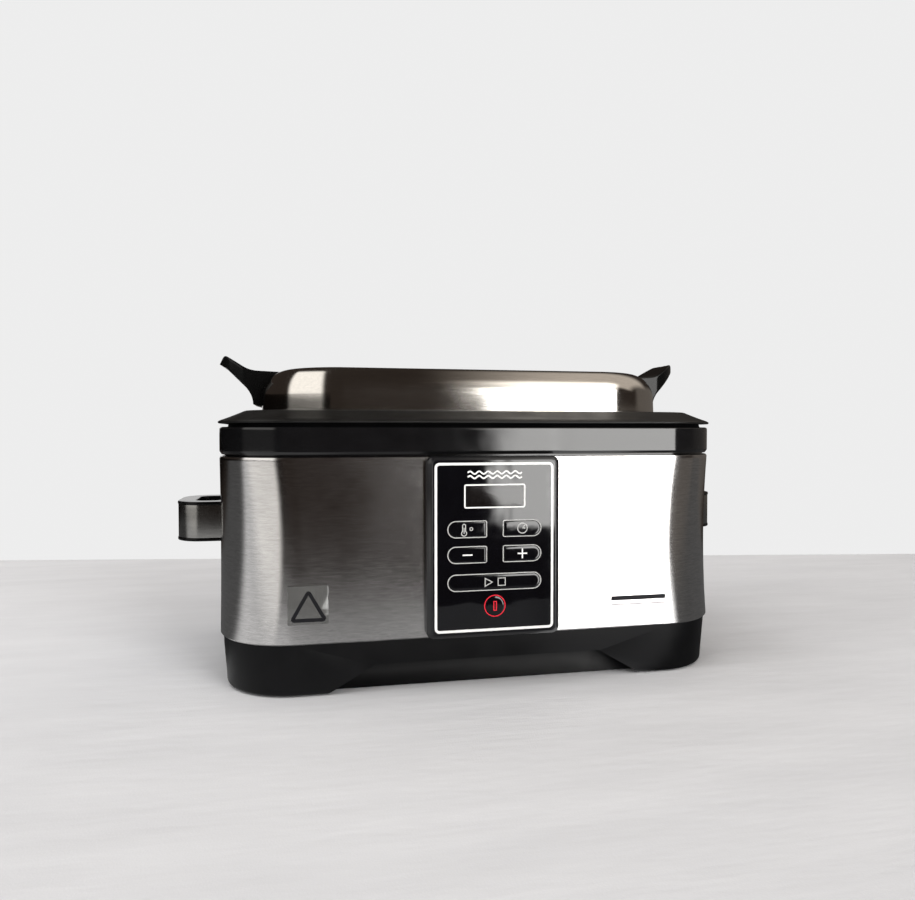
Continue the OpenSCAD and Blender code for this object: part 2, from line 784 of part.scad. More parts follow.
// Right lid handle: a wing that hugs the lid's shoulder and rises outward
module lid_wing() {
  reach = 191;
  rise = 37.5;
  top = concat([[reach - 41, 222.6], [reach - 31, 222.8]],
    arc(reach - 31, 245.8, 23, -90, -90 + rise, 5), [[reach - 4.4, 235.5], [reach, 229]]);
  under = concat([[reach - 6.5, 225.2]], arc(lid_end + 26.4, 197, 20, 133, 178, 6),
    [[lid_end + 6.2, 195.8], [lid_end - 4, 195.8]]);
  difference() {
    intersection() {
      translate([0, lid_handle_w / 2, 0]) rotate([90, 0, 0]) linear_extrude(lid_handle_w)
        polygon(concat(top, under));
      translate([0, 0, 190]) linear_extrude(50) union() {
        translate([reach - 60, -lid_handle_w / 2]) square([60 - lid_handle_w / 2, lid_handle_w]);
        translate([reach - lid_handle_w / 2, 0]) circle(lid_handle_w / 2);
      }
    }
    lid_block(0, lid_bottom);
    for (sy = [-1, 1]) translate([lid_end - 8, sy * lid_screw[0], lid_screw[1]])
      rotate([0, 90, 0]) cylinder(r = 1.6, h = 13);
  }
}

module lid_handle_left() {
  color("#161618") mirror([1, 0, 0]) lid_wing();
}

module lid_handle_right() {
  color("#161618") lid_wing();
}

module lid_handle_screws() {
  seat = lid_end - 0.5 - lid_t - 0.6;
  color("gray") for (sx = [-1, 1], sy = [-1, 1])
    translate([sx * seat, sy * lid_screw[0], lid_screw[1]]) rotate([0, sx * 90, 0])
      screw(1.5, 5.6, 3, 2);
}

outer_sleeve();
upper_ring();
base_tray();
foot_pads();
base_screws();
inner_well();
well_screws();
band_heater();
insulation_blanket();
temperature_sensor();
thermal_fuse();
power_board();
board_standoffs();
power_relay();
board_capacitor();
board_transformer();
terminal_block();
cord_gland();
gland_lock_plate();
side_handle_left();
side_handle_right();
handle_skin_left();
handle_skin_right();
side_handle_screws();
panel_bezel();
bezel_screws();
keypad_foil();
display_window();
control_board();
control_board_screws();
led_display();
tact_switches();
key_temperature();
key_timer();
key_minus();
key_plus();
key_start_stop();
key_power();
cooking_pot();
pouch_rack();
lid_dome();
lid_gasket();
lid_handle_left();
lid_handle_right();
lid_handle_screws();
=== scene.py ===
"""Looks of the bench-top sous vide water oven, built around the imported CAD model.

Lengths are millimetres in the row frame (+X right, -Y front, +Z up); make_mesh() turns them into metres.
"""
import json
import math

import bmesh
import bpy
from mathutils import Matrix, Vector


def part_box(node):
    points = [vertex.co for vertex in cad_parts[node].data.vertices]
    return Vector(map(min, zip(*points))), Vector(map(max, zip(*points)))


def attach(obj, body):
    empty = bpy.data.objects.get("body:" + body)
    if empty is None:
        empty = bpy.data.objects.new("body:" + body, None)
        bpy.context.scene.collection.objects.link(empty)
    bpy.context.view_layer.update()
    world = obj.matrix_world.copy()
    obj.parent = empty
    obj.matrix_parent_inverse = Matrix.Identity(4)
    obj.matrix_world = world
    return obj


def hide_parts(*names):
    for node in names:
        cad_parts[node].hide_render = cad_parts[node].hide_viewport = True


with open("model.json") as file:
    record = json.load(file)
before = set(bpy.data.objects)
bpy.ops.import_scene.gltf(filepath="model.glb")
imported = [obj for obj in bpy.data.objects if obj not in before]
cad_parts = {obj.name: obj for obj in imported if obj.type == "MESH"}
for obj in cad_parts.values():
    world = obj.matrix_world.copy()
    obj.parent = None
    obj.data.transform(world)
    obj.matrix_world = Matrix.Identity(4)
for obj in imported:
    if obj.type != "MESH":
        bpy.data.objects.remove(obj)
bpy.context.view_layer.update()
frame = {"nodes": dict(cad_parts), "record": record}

MM = 0.001
SMOOTH_ANGLE = math.radians(32)  # a steeper fold between two faces is drawn as a real edge
CORNER_STEPS = 24


# ------------------ sizes, from the frame

def node_box(node):
    """Lowest and highest corner of a CAD node, in millimetres."""
    low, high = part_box(node)
    return low / MM, high / MM


# A pair such as BODY holds the corner centres of a rounded rectangle in plan, for its radius BODY_R.
SLEEVE_LOW, SLEEVE = node_box("outer_sleeve")
BODY_R = 52.0
BODY = (SLEEVE.x - BODY_R, SLEEVE.y - BODY_R)
FRONT = -SLEEVE.y
SLEEVE_SHEET = 1.0
SLEEVE_BOW = 6.0  # how much further round the sleeve's corners are at mid height
RING_TOP = SLEEVE.z + 20
POT_LOW, POT = node_box("cooking_pot")
FLANGE_R = 53.25
FLANGE = (POT.x - FLANGE_R, POT.y - FLANGE_R)
RIM_TOP = POT.z
LID_LOW, LID = node_box("lid_dome")
LID_R = 61.1
LID_SHEET = 1.2
CAVITY = (LID.x - LID_R, LID.y - LID_R)
POT_R = 54.0
POT_WALL = 1.5
SEAT_R = 62.3
BEZEL_LOW, BEZEL = node_box("panel_bezel")
PANEL_Y = BEZEL_LOW.y
PANEL_Z = (BEZEL_LOW.z + BEZEL.z) / 2
FOIL = node_box("keypad_foil")[1]
GRIP_LOW, GRIP = node_box("side_handle_right")
GRIP_WALL = 2.5  # between the sleeve and the finger hole
GRIP_BAR = 13.0
GRIP_SIDE = 12.0
FOOT_R = 9.0
PRINT_T = 0.05  # thickness of printed ink
CORNERS = [(sx, sy) for sx in (-1, 1) for sy in (-1, 1)]


# ------------------ mesh tools

def shade(bm):
    """Smooth faces, with sharp edges where they meet at a steep angle."""
    for face in bm.faces:
        face.smooth = True
    for edge in bm.edges:
        edge.smooth = edge.calc_face_angle(0.0) < SMOOTH_ANGLE


def add_object(name, bm):
    """Turns a bmesh into an object of the scene and frees it."""
    mesh = bpy.data.meshes.new(name)
    bm.to_mesh(mesh)
    bm.free()
    obj = bpy.data.objects.new(name, mesh)
    bpy.context.scene.collection.objects.link(obj)
    return obj


def make_mesh(name, bm):
    """Closes off a bmesh in millimetres as an object in metres, smooth except at real edges."""
    bmesh.ops.remove_doubles(bm, verts=bm.verts, dist=1e-4)
    bmesh.ops.recalc_face_normals(bm, faces=bm.faces)
    bmesh.ops.scale(bm, vec=(MM, MM, MM), verts=bm.verts)
    shade(bm)
    return add_object(name, bm)


def skin(name, rings, closed=False, capped=True):
    """A mesh through rings of equal count; closed joins the last to the first, capped fills both ends."""
    bm = bmesh.new()
    rows = [[bm.verts.new(p) for p in ring] for ring in rings]
    pairs = list(zip(rows, rows[1:]))
    if closed:
        pairs.append((rows[-1], rows[0]))
    for lower, upper in pairs:
        for i, a in enumerate(lower):
            j = (i + 1) % len(lower)
            bm.faces.new((a, lower[j], upper[j], upper[i]))
    if capped and not closed:
        bm.faces.new(rows[0])
        bm.faces.new(rows[-1])
    return make_mesh(name, bm)


def fillet_path(points, closed=False, steps=5):
    """Corner points (a, b, radius) as a line whose corners are rounded."""
    out = []
    count = len(points)
    for i, point in enumerate(points):
        here = Vector(point[:2])
        radius = point[2] if len(point) > 2 else 0
        if radius <= 0 or (not closed and i in (0, count - 1)):
            out.append(tuple(here))
            continue
        to_last = Vector(points[i - 1][:2]) - here
        to_next = Vector(points[(i + 1) % count][:2]) - here
        half = to_last.angle(to_next) / 2
        cut = min(radius / math.tan(half), 0.48 * min(to_last.length, to_next.length))
        radius = cut * math.tan(half)
        centre = here + (to_last.normalized() + to_next.normalized()).normalized() * radius / math.sin(half)
        first = here + to_last.normalized() * cut - centre
        last = here + to_next.normalized() * cut - centre
        start = math.atan2(first.y, first.x)
        turn = math.atan2(last.y, last.x) - start
        turn = (turn + math.pi) % (2 * math.pi) - math.pi
        for k in range(steps + 1):
            angle = start + turn * k / steps
            out.append((centre.x + radius * math.cos(angle), centre.y + radius * math.sin(angle)))
    return out


def arc(cx, cy, radius, start, end, steps=8):
    """Points along an arc, angles in degrees."""
    angles = [math.radians(start + (end - start) * i / steps) for i in range(steps + 1)]
    return [(cx + radius * math.cos(a), cy + radius * math.sin(a)) for a in angles]


def turns(count):
    """Cosine and sine of equal steps round a full circle."""
    angles = [2 * math.pi * k / count for k in range(count)]
    return [(math.cos(a), math.sin(a)) for a in angles]


def plan_ring(centre, radius, z, steps=CORNER_STEPS):
    """A rounded rectangle in plan: corner centres at +-centre, corners of the given radius."""
    points = []
    for quarter, (sx, sy) in enumerate([(1, 1), (-1, 1), (-1, -1), (1, -1)]):
        for x, y in arc(sx * centre[0], sy * centre[1], radius, 90 * quarter, 90 * quarter + 90, steps):
            points.append(Vector((x, y, z)))
    return points


def plan_rings(centre, profile):
    """Rings in plan for a profile of (corner radius, z)."""
    return [plan_ring(centre, radius, z) for radius, z in profile]


def rrect(width, height, radius, x=0.0, z=0.0, steps=6):
    """An upright rounded rectangle as a function of how far it is drawn in."""
    def outline(inset):
        r = max(radius - inset, 0.02)
        cx, cz = width / 2 - inset - r, height / 2 - inset - r
        points = []
        for quarter, (sx, sz) in enumerate([(1, 1), (-1, 1), (-1, -1), (1, -1)]):
            points += arc(x + sx * cx, z + sz * cz, r, 90 * quarter, 90 * quarter + 90, steps)
        return points
    return outline


def key_shape(side, width, height, x, z, small=1.4):
    """A D-shaped key: half round at its outer end, nearly square at its inner end."""
    def outline(inset):
        r = height / 2 - inset
        s = max(small - inset, 0.05)
        end = width / 2 - inset
        half = arc(end - r, 0, r, -90, 90, 20)
        square = arc(s - end, r - s, s, 90, 180, 4) + arc(s - end, s - r, s, 180, 270, 4)
        return [(x + side * a, z + b) for a, b in half + square]
    return outline


def panel_rings(outline, profile):
    """Rings for a piece that faces the front: the profile is (drawn in by, y)."""
    return [[Vector((x, y, z)) for x, z in outline(inset)] for inset, y in profile]


def tube_rings(path, radius, sides=12):
    """Round rings along a path of points, without twist."""
    rings = []
    up = None
    for i, p in enumerate(path):
        ahead = (path[min(i + 1, len(path) - 1)] - path[max(i - 1, 0)]).normalized()
        if up is None:
            up = ahead.orthogonal().normalized()
        up = (up - ahead * up.dot(ahead)).normalized()
        across = ahead.cross(up)
        rings.append([p + (up * c + across * s) * radius for c, s in turns(sides)])
    return rings


def lathe(name, base, axis, profile, sides=48):
    """A turned piece: the profile is (radius, distance along axis) from base."""
    axis = Vector(axis).normalized()
    u = axis.orthogonal().normalized()
    v = axis.cross(u)
    base = Vector(base)
    rings = []
    for radius, along in profile:
        rings.append([base + axis * along + (u * c + v * s) * radius for c, s in turns(sides)])
    return skin(name, rings)


def join(name, parts):
    """Joins objects into one called name, and removes them."""
    bm = bmesh.new()
    for part in parts:
        bm.from_mesh(part.data)
        bpy.data.objects.remove(part)
    return add_object(name, bm)


def apply_modifiers(obj):
    """Replaces the object's mesh with what its modifiers make of it."""
    depsgraph = bpy.context.evaluated_depsgraph_get()
    depsgraph.update()
    mesh = bpy.data.meshes.new_from_object(obj.evaluated_get(depsgraph))
    obj.modifiers.clear()
    obj.data = mesh


def cut(obj, tool):
    """Cuts tool out of obj, and removes the tool."""
    modifier = obj.modifiers.new("cut", "BOOLEAN")
    modifier.object = tool
    modifier.operation = "DIFFERENCE"
    modifier.solver = "EXACT"
    bpy.context.view_layer.update()
    apply_modifiers(obj)
    bpy.data.objects.remove(tool)


def soften_edges(obj, width, angle):
    """Rounds the object's real edges and shades the rest smooth."""
    modifier = obj.modifiers.new("edges", "BEVEL")
    modifier.width = width * MM
    modifier.segments = 3
    modifier.limit_method = "ANGLE"
    modifier.angle_limit = math.radians(angle)
    apply_modifiers(obj)
    bm = bmesh.new()
    bm.from_mesh(obj.data)
    shade(bm)
    bm.to_mesh(obj.data)
    bm.free()


def prism_up(name, outline, low, high):
    """A straight solid over an outline in x and y."""
    return skin(name, [[Vector((x, y, z)) for x, y in outline] for z in (low, high)])


def prism_back(name, outline, start, end):
    """A straight solid behind an outline in x and z."""
    return skin(name, [[Vector((x, y, z)) for x, z in outline] for y in (start, end)])


def piece(obj, body, slot, *replaced, look=None):
    """Gives a piece its body, its slot, the CAD nodes that it stands for and its look, if not the slot's."""
    obj.data.materials.clear()
    obj.data.materials.append(MATERIALS[look or slot])
    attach(obj, body)
    if replaced:
        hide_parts(*replaced)


# ------------------ materials

class Graph:
    """Short calls for building a node tree."""

    def __init__(self, tree):
        self.tree = tree
        tree.nodes.clear()

    def add(self, kind, inputs=None, **settings):
        node = self.tree.nodes.new("ShaderNode" + kind)
        for key, value in settings.items():
            setattr(node, key, value)
        for key, value in (inputs or {}).items():
            self.put(value, node.inputs[key])
        return node

    def put(self, value, socket):
        if isinstance(value, bpy.types.NodeSocket):
            self.tree.links.new(value, socket)
        else:
            socket.default_value = value

    def math(self, operation, a, b=0.0):
        return self.add("Math", {0: a, 1: b}, operation=operation).outputs[0]

    def color_mix(self, factor, a, b, **settings):
        """Two colours mixed; each is a socket or three numbers."""
        a, b = (c if isinstance(c, bpy.types.NodeSocket) else (*c, 1) for c in (a, b))
        node = self.add("Mix", {"Factor": factor, "A": a, "B": b}, data_type="RGBA", **settings)
        return node.outputs["Result"]

    def noise(self, stretch, scale=1.0, detail=3.0, roughness=0.5):
        """Noise in the object's own coordinates, in cycles per metre along each axis."""
        place = self.add("TexCoord").outputs["Object"]
        place = self.add("Mapping", {"Vector": place, "Scale": stretch}).outputs[0]
        return self.add("TexNoise", {"Vector": place, "Scale": scale, "Detail": detail,
                                     "Roughness": roughness}).outputs["Fac"]

    def spread(self, value, low, high, source=(0.3, 0.7)):
        """Maps a noise value to the range low to high."""
        return self.add("MapRange", {"Value": value, "From Min": source[0], "From Max": source[1],
                                     "To Min": low, "To Max": high}).outputs[0]

    def shades(self, value, dark, light, source=(0.3, 0.7)):
        """A colour between dark and light, by a noise value."""
        return self.color_mix(self.spread(value, 0.0, 1.0, source), dark, light)

    def bump(self, height, distance, below=None):
        """A normal that height raises by up to distance, on top of the normal below."""
        node = self.add("Bump", {"Height": height, "Distance": distance})
        if below is not None:
            self.put(below, node.inputs["Normal"])
        return node.outputs[0]


def scaled(color, factor):
    return tuple(c * factor for c in color)


def tint(color, factor):
    """A surface colour made darker or lighter, kept below white."""
    return tuple(min(1.0, c) for c in scaled(color, factor))


def new_material(name):
    material = bpy.data.materials.new(name)
    material.use_nodes = True
    return material, Graph(material.node_tree)


def finish_shader(graph, inputs):
    shader = graph.add("BsdfPrincipled", inputs)
    graph.add("OutputMaterial", {"Surface": shader.outputs[0]})


def plastic(name, color, roughness, grain, grain_size, wave=0.0, wave_size=30.0, smudge=0.06, specular=0.5):
    """Moulded plastic, rubber or paint: faint smudges, a fine grain and a slow waviness."""
    material, g = new_material(name)
    slow = g.noise((1, 1, 1), 1000 / wave_size, 2.0)
    patches = g.noise((1, 1, 1), 60, 4.0)
    fine = g.noise((1, 1, 1), 1000 / grain_size, 2.0)
    normal = g.bump(slow, wave * MM)
    normal = g.bump(fine, grain * MM, below=normal)
    finish_shader(g, {
        "Base Color": g.shades(patches, tint(color, 0.85), tint(color, 1.15)),
        "Roughness": g.spread(patches, max(roughness - smudge, 0.02), roughness + smudge),
        "Specular IOR Level": specular,
        "Normal": normal,
    })
    return material


def brushed(name, color, roughness, stretch, depth, anisotropic, contrast, wave=0.0):
    """Brushed metal: hair lines along the stretched directions, at two scales, over faint smudges."""
    material, g = new_material(name)
    fine = g.noise(stretch, 1.0, 4.0, 0.7)
    broad = g.noise(tuple(s * 0.34 for s in stretch), 1.0, 3.0, 0.6)
    lines = g.math("ADD", g.math("MULTIPLY", fine, 0.6), g.math("MULTIPLY", broad, 0.4))
    patches = g.noise((1, 1, 1), 18, 3.0)
    normal = g.bump(patches, wave * MM)
    normal = g.bump(lines, depth * MM, below=normal)
    rough = g.spread(lines, roughness - 0.02, roughness + 0.02, (0.35, 0.65))
    rough = g.math("ADD", rough, g.spread(patches, -0.025, 0.03))
    inputs = {
        "Base Color": g.shades(lines, tint(color, 1 - contrast), tint(color, 1 + contrast), (0.38, 0.62)),
        "Metallic": 1.0,
        "Roughness": rough,
        "Normal": normal,
    }
    if anisotropic:
        inputs["Anisotropic"] = anisotropic
        inputs["Anisotropic Rotation"] = 0.25
        inputs["Tangent"] = g.add("Tangent", direction_type="RADIAL", axis="Z").outputs[0]
    finish_shader(g, inputs)
    return material


def print_ink(name, color, roughness=0.35, glow=0.0):
    """Screen-printed ink: slightly uneven cover."""
    material, g = new_material(name)
    cover = g.noise((1, 1, 1), 1800, 2.0)
    finish_shader(g, {
        "Base Color": g.shades(cover, tint(color, 0.9), color),
        "Roughness": g.spread(cover, roughness - 0.05, roughness + 0.08),
        "Specular IOR Level": 0.08,
        "Emission Color": (*color, 1),
        "Emission Strength": glow,
        "Normal": g.bump(cover, 0.004 * MM),
    })
    return material


def smoked_glass(name, color, clearness):
    """Tinted clear plastic: a dark film that lets what lies behind show faintly."""
    material, g = new_material(name)
    haze = g.noise((1, 1, 1), 40, 3.0)
    finish_shader(g, {
        "Base Color": g.shades(haze, tint(color, 0.8), tint(color, 1.2)),
        "Roughness": g.spread(haze, 0.03, 0.09),
        "Transmission Weight": clearness,
        "IOR": 1.49,
        "Normal": g.bump(haze, 0.03 * MM),
    })
    return material


def felt(name, color):
    """Loose fibres, for the insulation."""
    material, g = new_material(name)
    fibres = g.noise((1, 1, 1), 700, 6.0, 0.8)
    finish_shader(g, {
        "Base Color": g.shades(fibres, tint(color, 0.7), color),
        "Roughness": 0.95,
        "Sheen Weight": 0.3,
        "Normal": g.bump(fibres, 0.6 * MM),
    })
    return material


ALONG_BODY = (260, 260, 2600)
ALONG_LID = (150, 2600, 2800)

# Metals: colour, roughness, brush lines per metre along x, y and z, their depth in mm, anisotropy, contrast
# and, where it shows, the sheet's waviness in mm.
METALS = {
    "sleeve_steel": ((0.61, 0.598, 0.592), 0.18, ALONG_BODY, 0.0004, 0.75, 0.13, 0.002),
    "lid_steel": ((0.66, 0.63, 0.59), 0.12, ALONG_LID, 0.0005, 0.75, 0.07, 0.001),
    # handle_steel is the sleeve's kind of steel with its colour darkened: painted shade for the dim bands of
    # the side handles.
    "handle_steel": ((0.30, 0.295, 0.285), 0.24, (90, 90, 2600), 0.0015, 0.6, 0.12),
    "well_aluminium": ((0.70, 0.71, 0.72), 0.34, (12, 12, 1400), 0.01, 0.3, 0.08),
    "rack_wire": ((0.72, 0.72, 0.72), 0.16, (500, 500, 500), 0.004, 0.0, 0.05),
    "sensor_steel": ((0.7, 0.7, 0.7), 0.2, (60, 60, 2000), 0.004, 0.3, 0.05),
    "screw_steel": ((0.52, 0.52, 0.53), 0.3, (900, 900, 900), 0.01, 0.0, 0.12),
    "heater_band": ((0.42, 0.36, 0.28), 0.42, (20, 20, 900), 0.03, 0.2, 0.15),
    "copper_winding": ((0.6, 0.3, 0.13), 0.3, (60, 3500, 60), 0.05, 0.0, 0.25),
}

# Plastics, rubber and paint: colour, roughness, depth and size of the grain in mm and, where they matter,
# depth and size of the waviness in mm, the smudges' share of roughness and the specular level.
PLASTICS = {
    "pot_coating": ((0.006, 0.0058, 0.0055), 0.42, 0.012, 0.5, 0.03, 60, 0.06, 0.22),
    "ring_plastic": ((0.005, 0.005, 0.0055), 0.09, 0.0006, 0.9, 0.05, 45, 0.03),
    "handle_plastic": ((0.004, 0.004, 0.004), 0.09, 0.0, 0.6, 0.02, 20, 0.03, 0.16),
    "panel_plastic": ((0.008, 0.008, 0.009), 0.20, 0.002, 0.5, 0.02, 30, 0.05),
    "keypad_foil": ((0.002, 0.002, 0.003), 0.045, 0.0, 0.8, 0.42, 34, 0.01),
    "key_foil": ((0.002, 0.002, 0.003), 0.045, 0.0, 0.8, 0.05, 12, 0.01),
    "base_plastic": ((0.0035, 0.0035, 0.004), 0.42, 0.02, 0.7, 0.03, 40, 0.06, 0.12),
    "gland_plastic": ((0.015, 0.015, 0.015), 0.42, 0.015, 0.5),
    "component_plastic": ((0.045, 0.05, 0.055), 0.4, 0.01, 0.5),
    "terminal_plastic": ((0.04, 0.22, 0.10), 0.4, 0.01, 0.5),
    "nylon": ((0.72, 0.71, 0.66), 0.45, 0.01, 0.5),
    "ceramic": ((0.78, 0.75, 0.68), 0.7, 0.02, 0.4),
    "circuit_board": ((0.02, 0.12, 0.05), 0.3, 0.01, 1.2),
    "foot_rubber": ((0.022, 0.022, 0.022), 0.75, 0.03, 0.5),
    "gasket_silicone": ((0.06, 0.06, 0.06), 0.55, 0.01, 0.5),
}

# Printing inks: colour and, where they differ, roughness and glow.
INKS = {
    "white_ink": ((0.85, 0.85, 0.84),),
    "grey_ink": ((0.50, 0.50, 0.49),),
    "black_ink": ((0.012, 0.012, 0.014),),
    "red_ink": ((0.62, 0.02, 0.035), 0.3, 0.35),
    "led_segment": ((0.05, 0.045, 0.042), 0.4),
}

MATERIALS = {
    **{name: brushed(name, *values) for name, values in METALS.items()},
    **{name: plastic(name, *values) for name, values in PLASTICS.items()},
    **{name: print_ink(name, *values) for name, values in INKS.items()},
    "insulation": felt("insulation", (0.75, 0.71, 0.60)),
    "smoked_window": smoked_glass("smoked_window", (0.025, 0.02, 0.018), 0.85),
    "clear_film": smoked_glass("clear_film", (0.20, 0.20, 0.195), 0.6),
}


# ------------------ housing

def build_sleeve():
    """The steel sleeve with a rolled top edge, its corners a little rounder at mid height."""
    low, high = SLEEVE_LOW.z, SLEEVE.z
    r, t = BODY_R, SLEEVE_SHEET
    levels = [low + 3 + (high - low - 6) * i / 16 for i in range(17)]
    outside = [(r - 8, low), (r - 0.9, low), (r, low + 0.9)] + [(r, z) for z in levels]
    rolled = [(r, high - 1.8), (r - 0.5, high - 0.5), (r - 1.8, high), (r - 5, high), (r - 5, high - t),
              (r - 1.6, high - t)]
    inside = [(r - t, z) for z in reversed(levels)] + [(r - 1.6, low + t), (r - 8, low + t)]
    middle, half = (low + high) / 2, (high - low) / 2
    rings = []
    for radius, z in outside + rolled + inside:
        bow = SLEEVE_BOW * (1 - ((z - middle) / half) ** 2)
        rings.append(plan_ring((BODY[0] - bow, BODY[1] - bow), radius + bow, z, 40))
    obj = skin("steel_sleeve", rings, closed=True)
    piece(obj, "housing", "sleeve_steel", "outer_sleeve")


def build_ring():
    """The black ring on the sleeve: its skirt, wall, low bead, the seat of the pot and its inside."""
    low = SLEEVE.z
    r, top = BODY_R, RING_TOP
    skirt = [(r - 8, low - 8), (r - 5.2, low - 8), (r - 5.2, low)]
    wall = [(r - 3.5, low), (r - 3.5, low + 1), (r - 1.5, low + 1, 0.3), (r, low + 3.2, 1.4), (r, low + 6),
            (r, top - 3.2), (r, top, 1.7)]
    bead = [(r - 5.5, top, 0.6), (r - 6.5, top + 3.4, 0.8), (r - 9, top + 4.2, 0.8), (r - 10, top, 0.6)]
    seat = [(r - 18.5, top, 0.6), (r - 18.5, RIM_TOP - 2, 0.6), (r - 21.5, RIM_TOP - 2, 0.6)]
    inside = [(r - 21.5, top - 3, 0.4), (r - 2.8, top - 3, 0.4), (r - 2.8, low + 3.8), (r - 8, low + 3.8)]
    profile = fillet_path(skirt + wall + bead + seat + inside, closed=True)
    obj = skin("upper_ring_gloss", plan_rings(BODY, profile), closed=True)
    piece(obj, "housing", "ring_plastic", "upper_ring")


def arch_outline():
    """The arch in the front and rear walls of the base."""
    foot_x, top_x, foot_z, top_z = 112.7, 80.0, 0.5, 19.7
    extra = (foot_x - top_x) / (top_z - foot_z)
    right = [(top_x, top_z, 4), (foot_x + extra, foot_z - 1)]
    left = [(-x, *rest) for x, *rest in reversed(right)]
    return fillet_path(left + right, steps=6)


def tray_profile(inset, low, high):
    """Section of the base tray, or of its hollow, drawn in by inset."""
    top = BODY_R - 1.8 - inset
    foot = top - 2.7
    return fillet_path([(12, low), (foot, low, 3), (top, high, 0.7 if inset == 0 else 0), (12, high)])


def build_base():
    """The base tray with its arches, floor vents, pockets for the feet and counterbores for the screws."""
    low, high = node_box("base_tray")
    floor = low.z
    obj = skin("base_moulding", plan_rings(BODY, tray_profile(0, floor, high.z)))
    hollow = skin("hollow", plan_rings(BODY, tray_profile(3, floor + 22, high.z + 1)))
    cut(obj, hollow)
    for start, end in ((-140, -100), (100, 140)):
        cut(obj, prism_back("arch", arch_outline(), start, end))
    for i in range(-4, 5):
        slot = rrect(3, 70, 1.4, i * 9, 0)(0)
        cut(obj, prism_up("vent", slot, floor - 1, floor + 6))
    feet = node_box("foot_pads")[1]
    screws = node_box("base_screws")[1]
    for sx, sy in CORNERS:
        place = (sx * (feet.x - FOOT_R), sy * (feet.y - FOOT_R), -2)
        cut(obj, lathe("pocket", place, (0, 0, 1), [(9.3, 0), (9.3, feet.z + 2)]))
        place = (sx * (screws.x - 3.4), sy * (screws.y - 3.4), -2)
        cut(obj, lathe("counterbore", place, (0, 0, 1), [(3.6, 0), (3.6, 28)], 24))
    soften_edges(obj, 0.6, 50)
    piece(obj, "housing", "base_plastic", "base_tray")


def build_feet():
    high = node_box("foot_pads")[1]
    profile = fillet_path([(0.5, 0.5), (3, 0.5, 0.3), (3.6, 0, 0.3), (FOOT_R, 0, 0.7), (FOOT_R, high.z),
                           (1, high.z)])
    pads = []
    for sx, sy in CORNERS:
        pads.append(lathe("pad", (sx * (high.x - FOOT_R), sy * (high.y - FOOT_R), 0), (0, 0, 1), profile))
    piece(join("rubber_feet", pads), "housing", "foot_rubber", "foot_pads")


def build_gland():
    """Ribbed collar around the cord's bore."""
    low, high = node_box("cord_gland")
    x, z = (low.x + high.x) / 2, (low.z + high.z) / 2
    rear = SLEEVE.y - low.y
    end = high.y - low.y
    bore = 4.2
    ribs = []
    for i in range(3):
        at = rear + 4.1 + i * 1.3
        ribs += [(10, at, 0.2), (10, at + 0.8, 0.2), (9.3, at + 0.85), (9.3, at + 1.25)]
    profile = fillet_path([(bore, 0, 0.4), (8, 0, 0.4), (8, rear), (14, rear), (14, rear + 3.4, 1.0),
                           (10.4, rear + 3.6, 0.3)] + ribs[:-2]
                          + [(10, end, 0.6), (bore, end, 0.9)], closed=True, steps=3)
    rings = []
    for radius, along in profile:
        rings.append([Vector((x + radius * c, low.y + along, z + radius * s)) for c, s in turns(64)])
    obj = skin("cord_collar", rings, closed=True)
    piece(obj, "housing", "gland_plastic", "cord_gland")


# ------------------ side handles

def ray_outline(inside, count=144):
    """Points where rays from the hole's centre leave a shape, given its inside test."""
    centre = Vector(((GRIP_LOW.x + GRIP_WALL + GRIP.x - GRIP_BAR) / 2, 0))
    points = []
    for k in range(count):
        angle = 2 * math.pi * (k + 0.5) / count
        ray = Vector((math.cos(angle), math.sin(angle)))
        near, far = 0.0, 60.0
        for _ in range(30):
            middle = (near + far) / 2
            if inside(*(centre + ray * middle)):
                near = middle
            else:
                far = middle
        points.append(centre + ray * near)
    return points


def inside_round(x, y, x0, x1, half_y, radius, left_radius):
    """Is the point in a box that has rounded right corners and, if wanted, left ones?"""
    if not (x0 <= x <= x1 and abs(y) <= half_y):
        return False
    for edge, r, sign in ((x1, radius, 1), (x0, left_radius, -1)):
        dx, dy = sign * (x - edge) + r, abs(y) - (half_y - r)
        if r and dx > 0 and dy > 0 and math.hypot(dx, dy) > r:
            return False
    return True


def grip_outer(inset):
    """The side handle's outline in plan, drawn in by inset."""
    return ray_outline(lambda x, y: inside_round(
        x, y, GRIP_LOW.x, GRIP.x - inset, GRIP.y - inset, 20 - inset, 0))


def grip_hole(inset):
    """The finger hole's outline in plan, widened by inset."""
    return ray_outline(lambda x, y: inside_round(
        x, y, GRIP_LOW.x + GRIP_WALL - inset, GRIP.x - GRIP_BAR + inset, GRIP.y - GRIP_SIDE + inset,
        8 + inset, 8 + inset))


def build_side_handle(side, sx):
    z0, z1 = GRIP_LOW.z, GRIP.z
    lip = 2.3
    outer = fillet_path([(1.6, z0), (0, z0, 1.0), (0, z0 + lip, 0.4), (1.2, z0 + lip),
                         (1.2, z1 - lip), (0, z1 - lip, 0.4), (0, z1, 1.0), (1.6, z1)], steps=3)
    hole = fillet_path([(1.4, z1), (0, z1, 1.1), (0, z0, 1.1), (1.4, z0)], steps=4)
    rings = [[Vector((sx * p.x, p.y, z)) for p in grip_outer(inset)] for inset, z in outer]
    rings += [[Vector((sx * p.x, p.y, z)) for p in grip_hole(inset)] for inset, z in hole]
    obj = skin("side_grip_" + side, rings, closed=True)
    piece(obj, "housing", "handle_plastic", "side_handle_" + side)


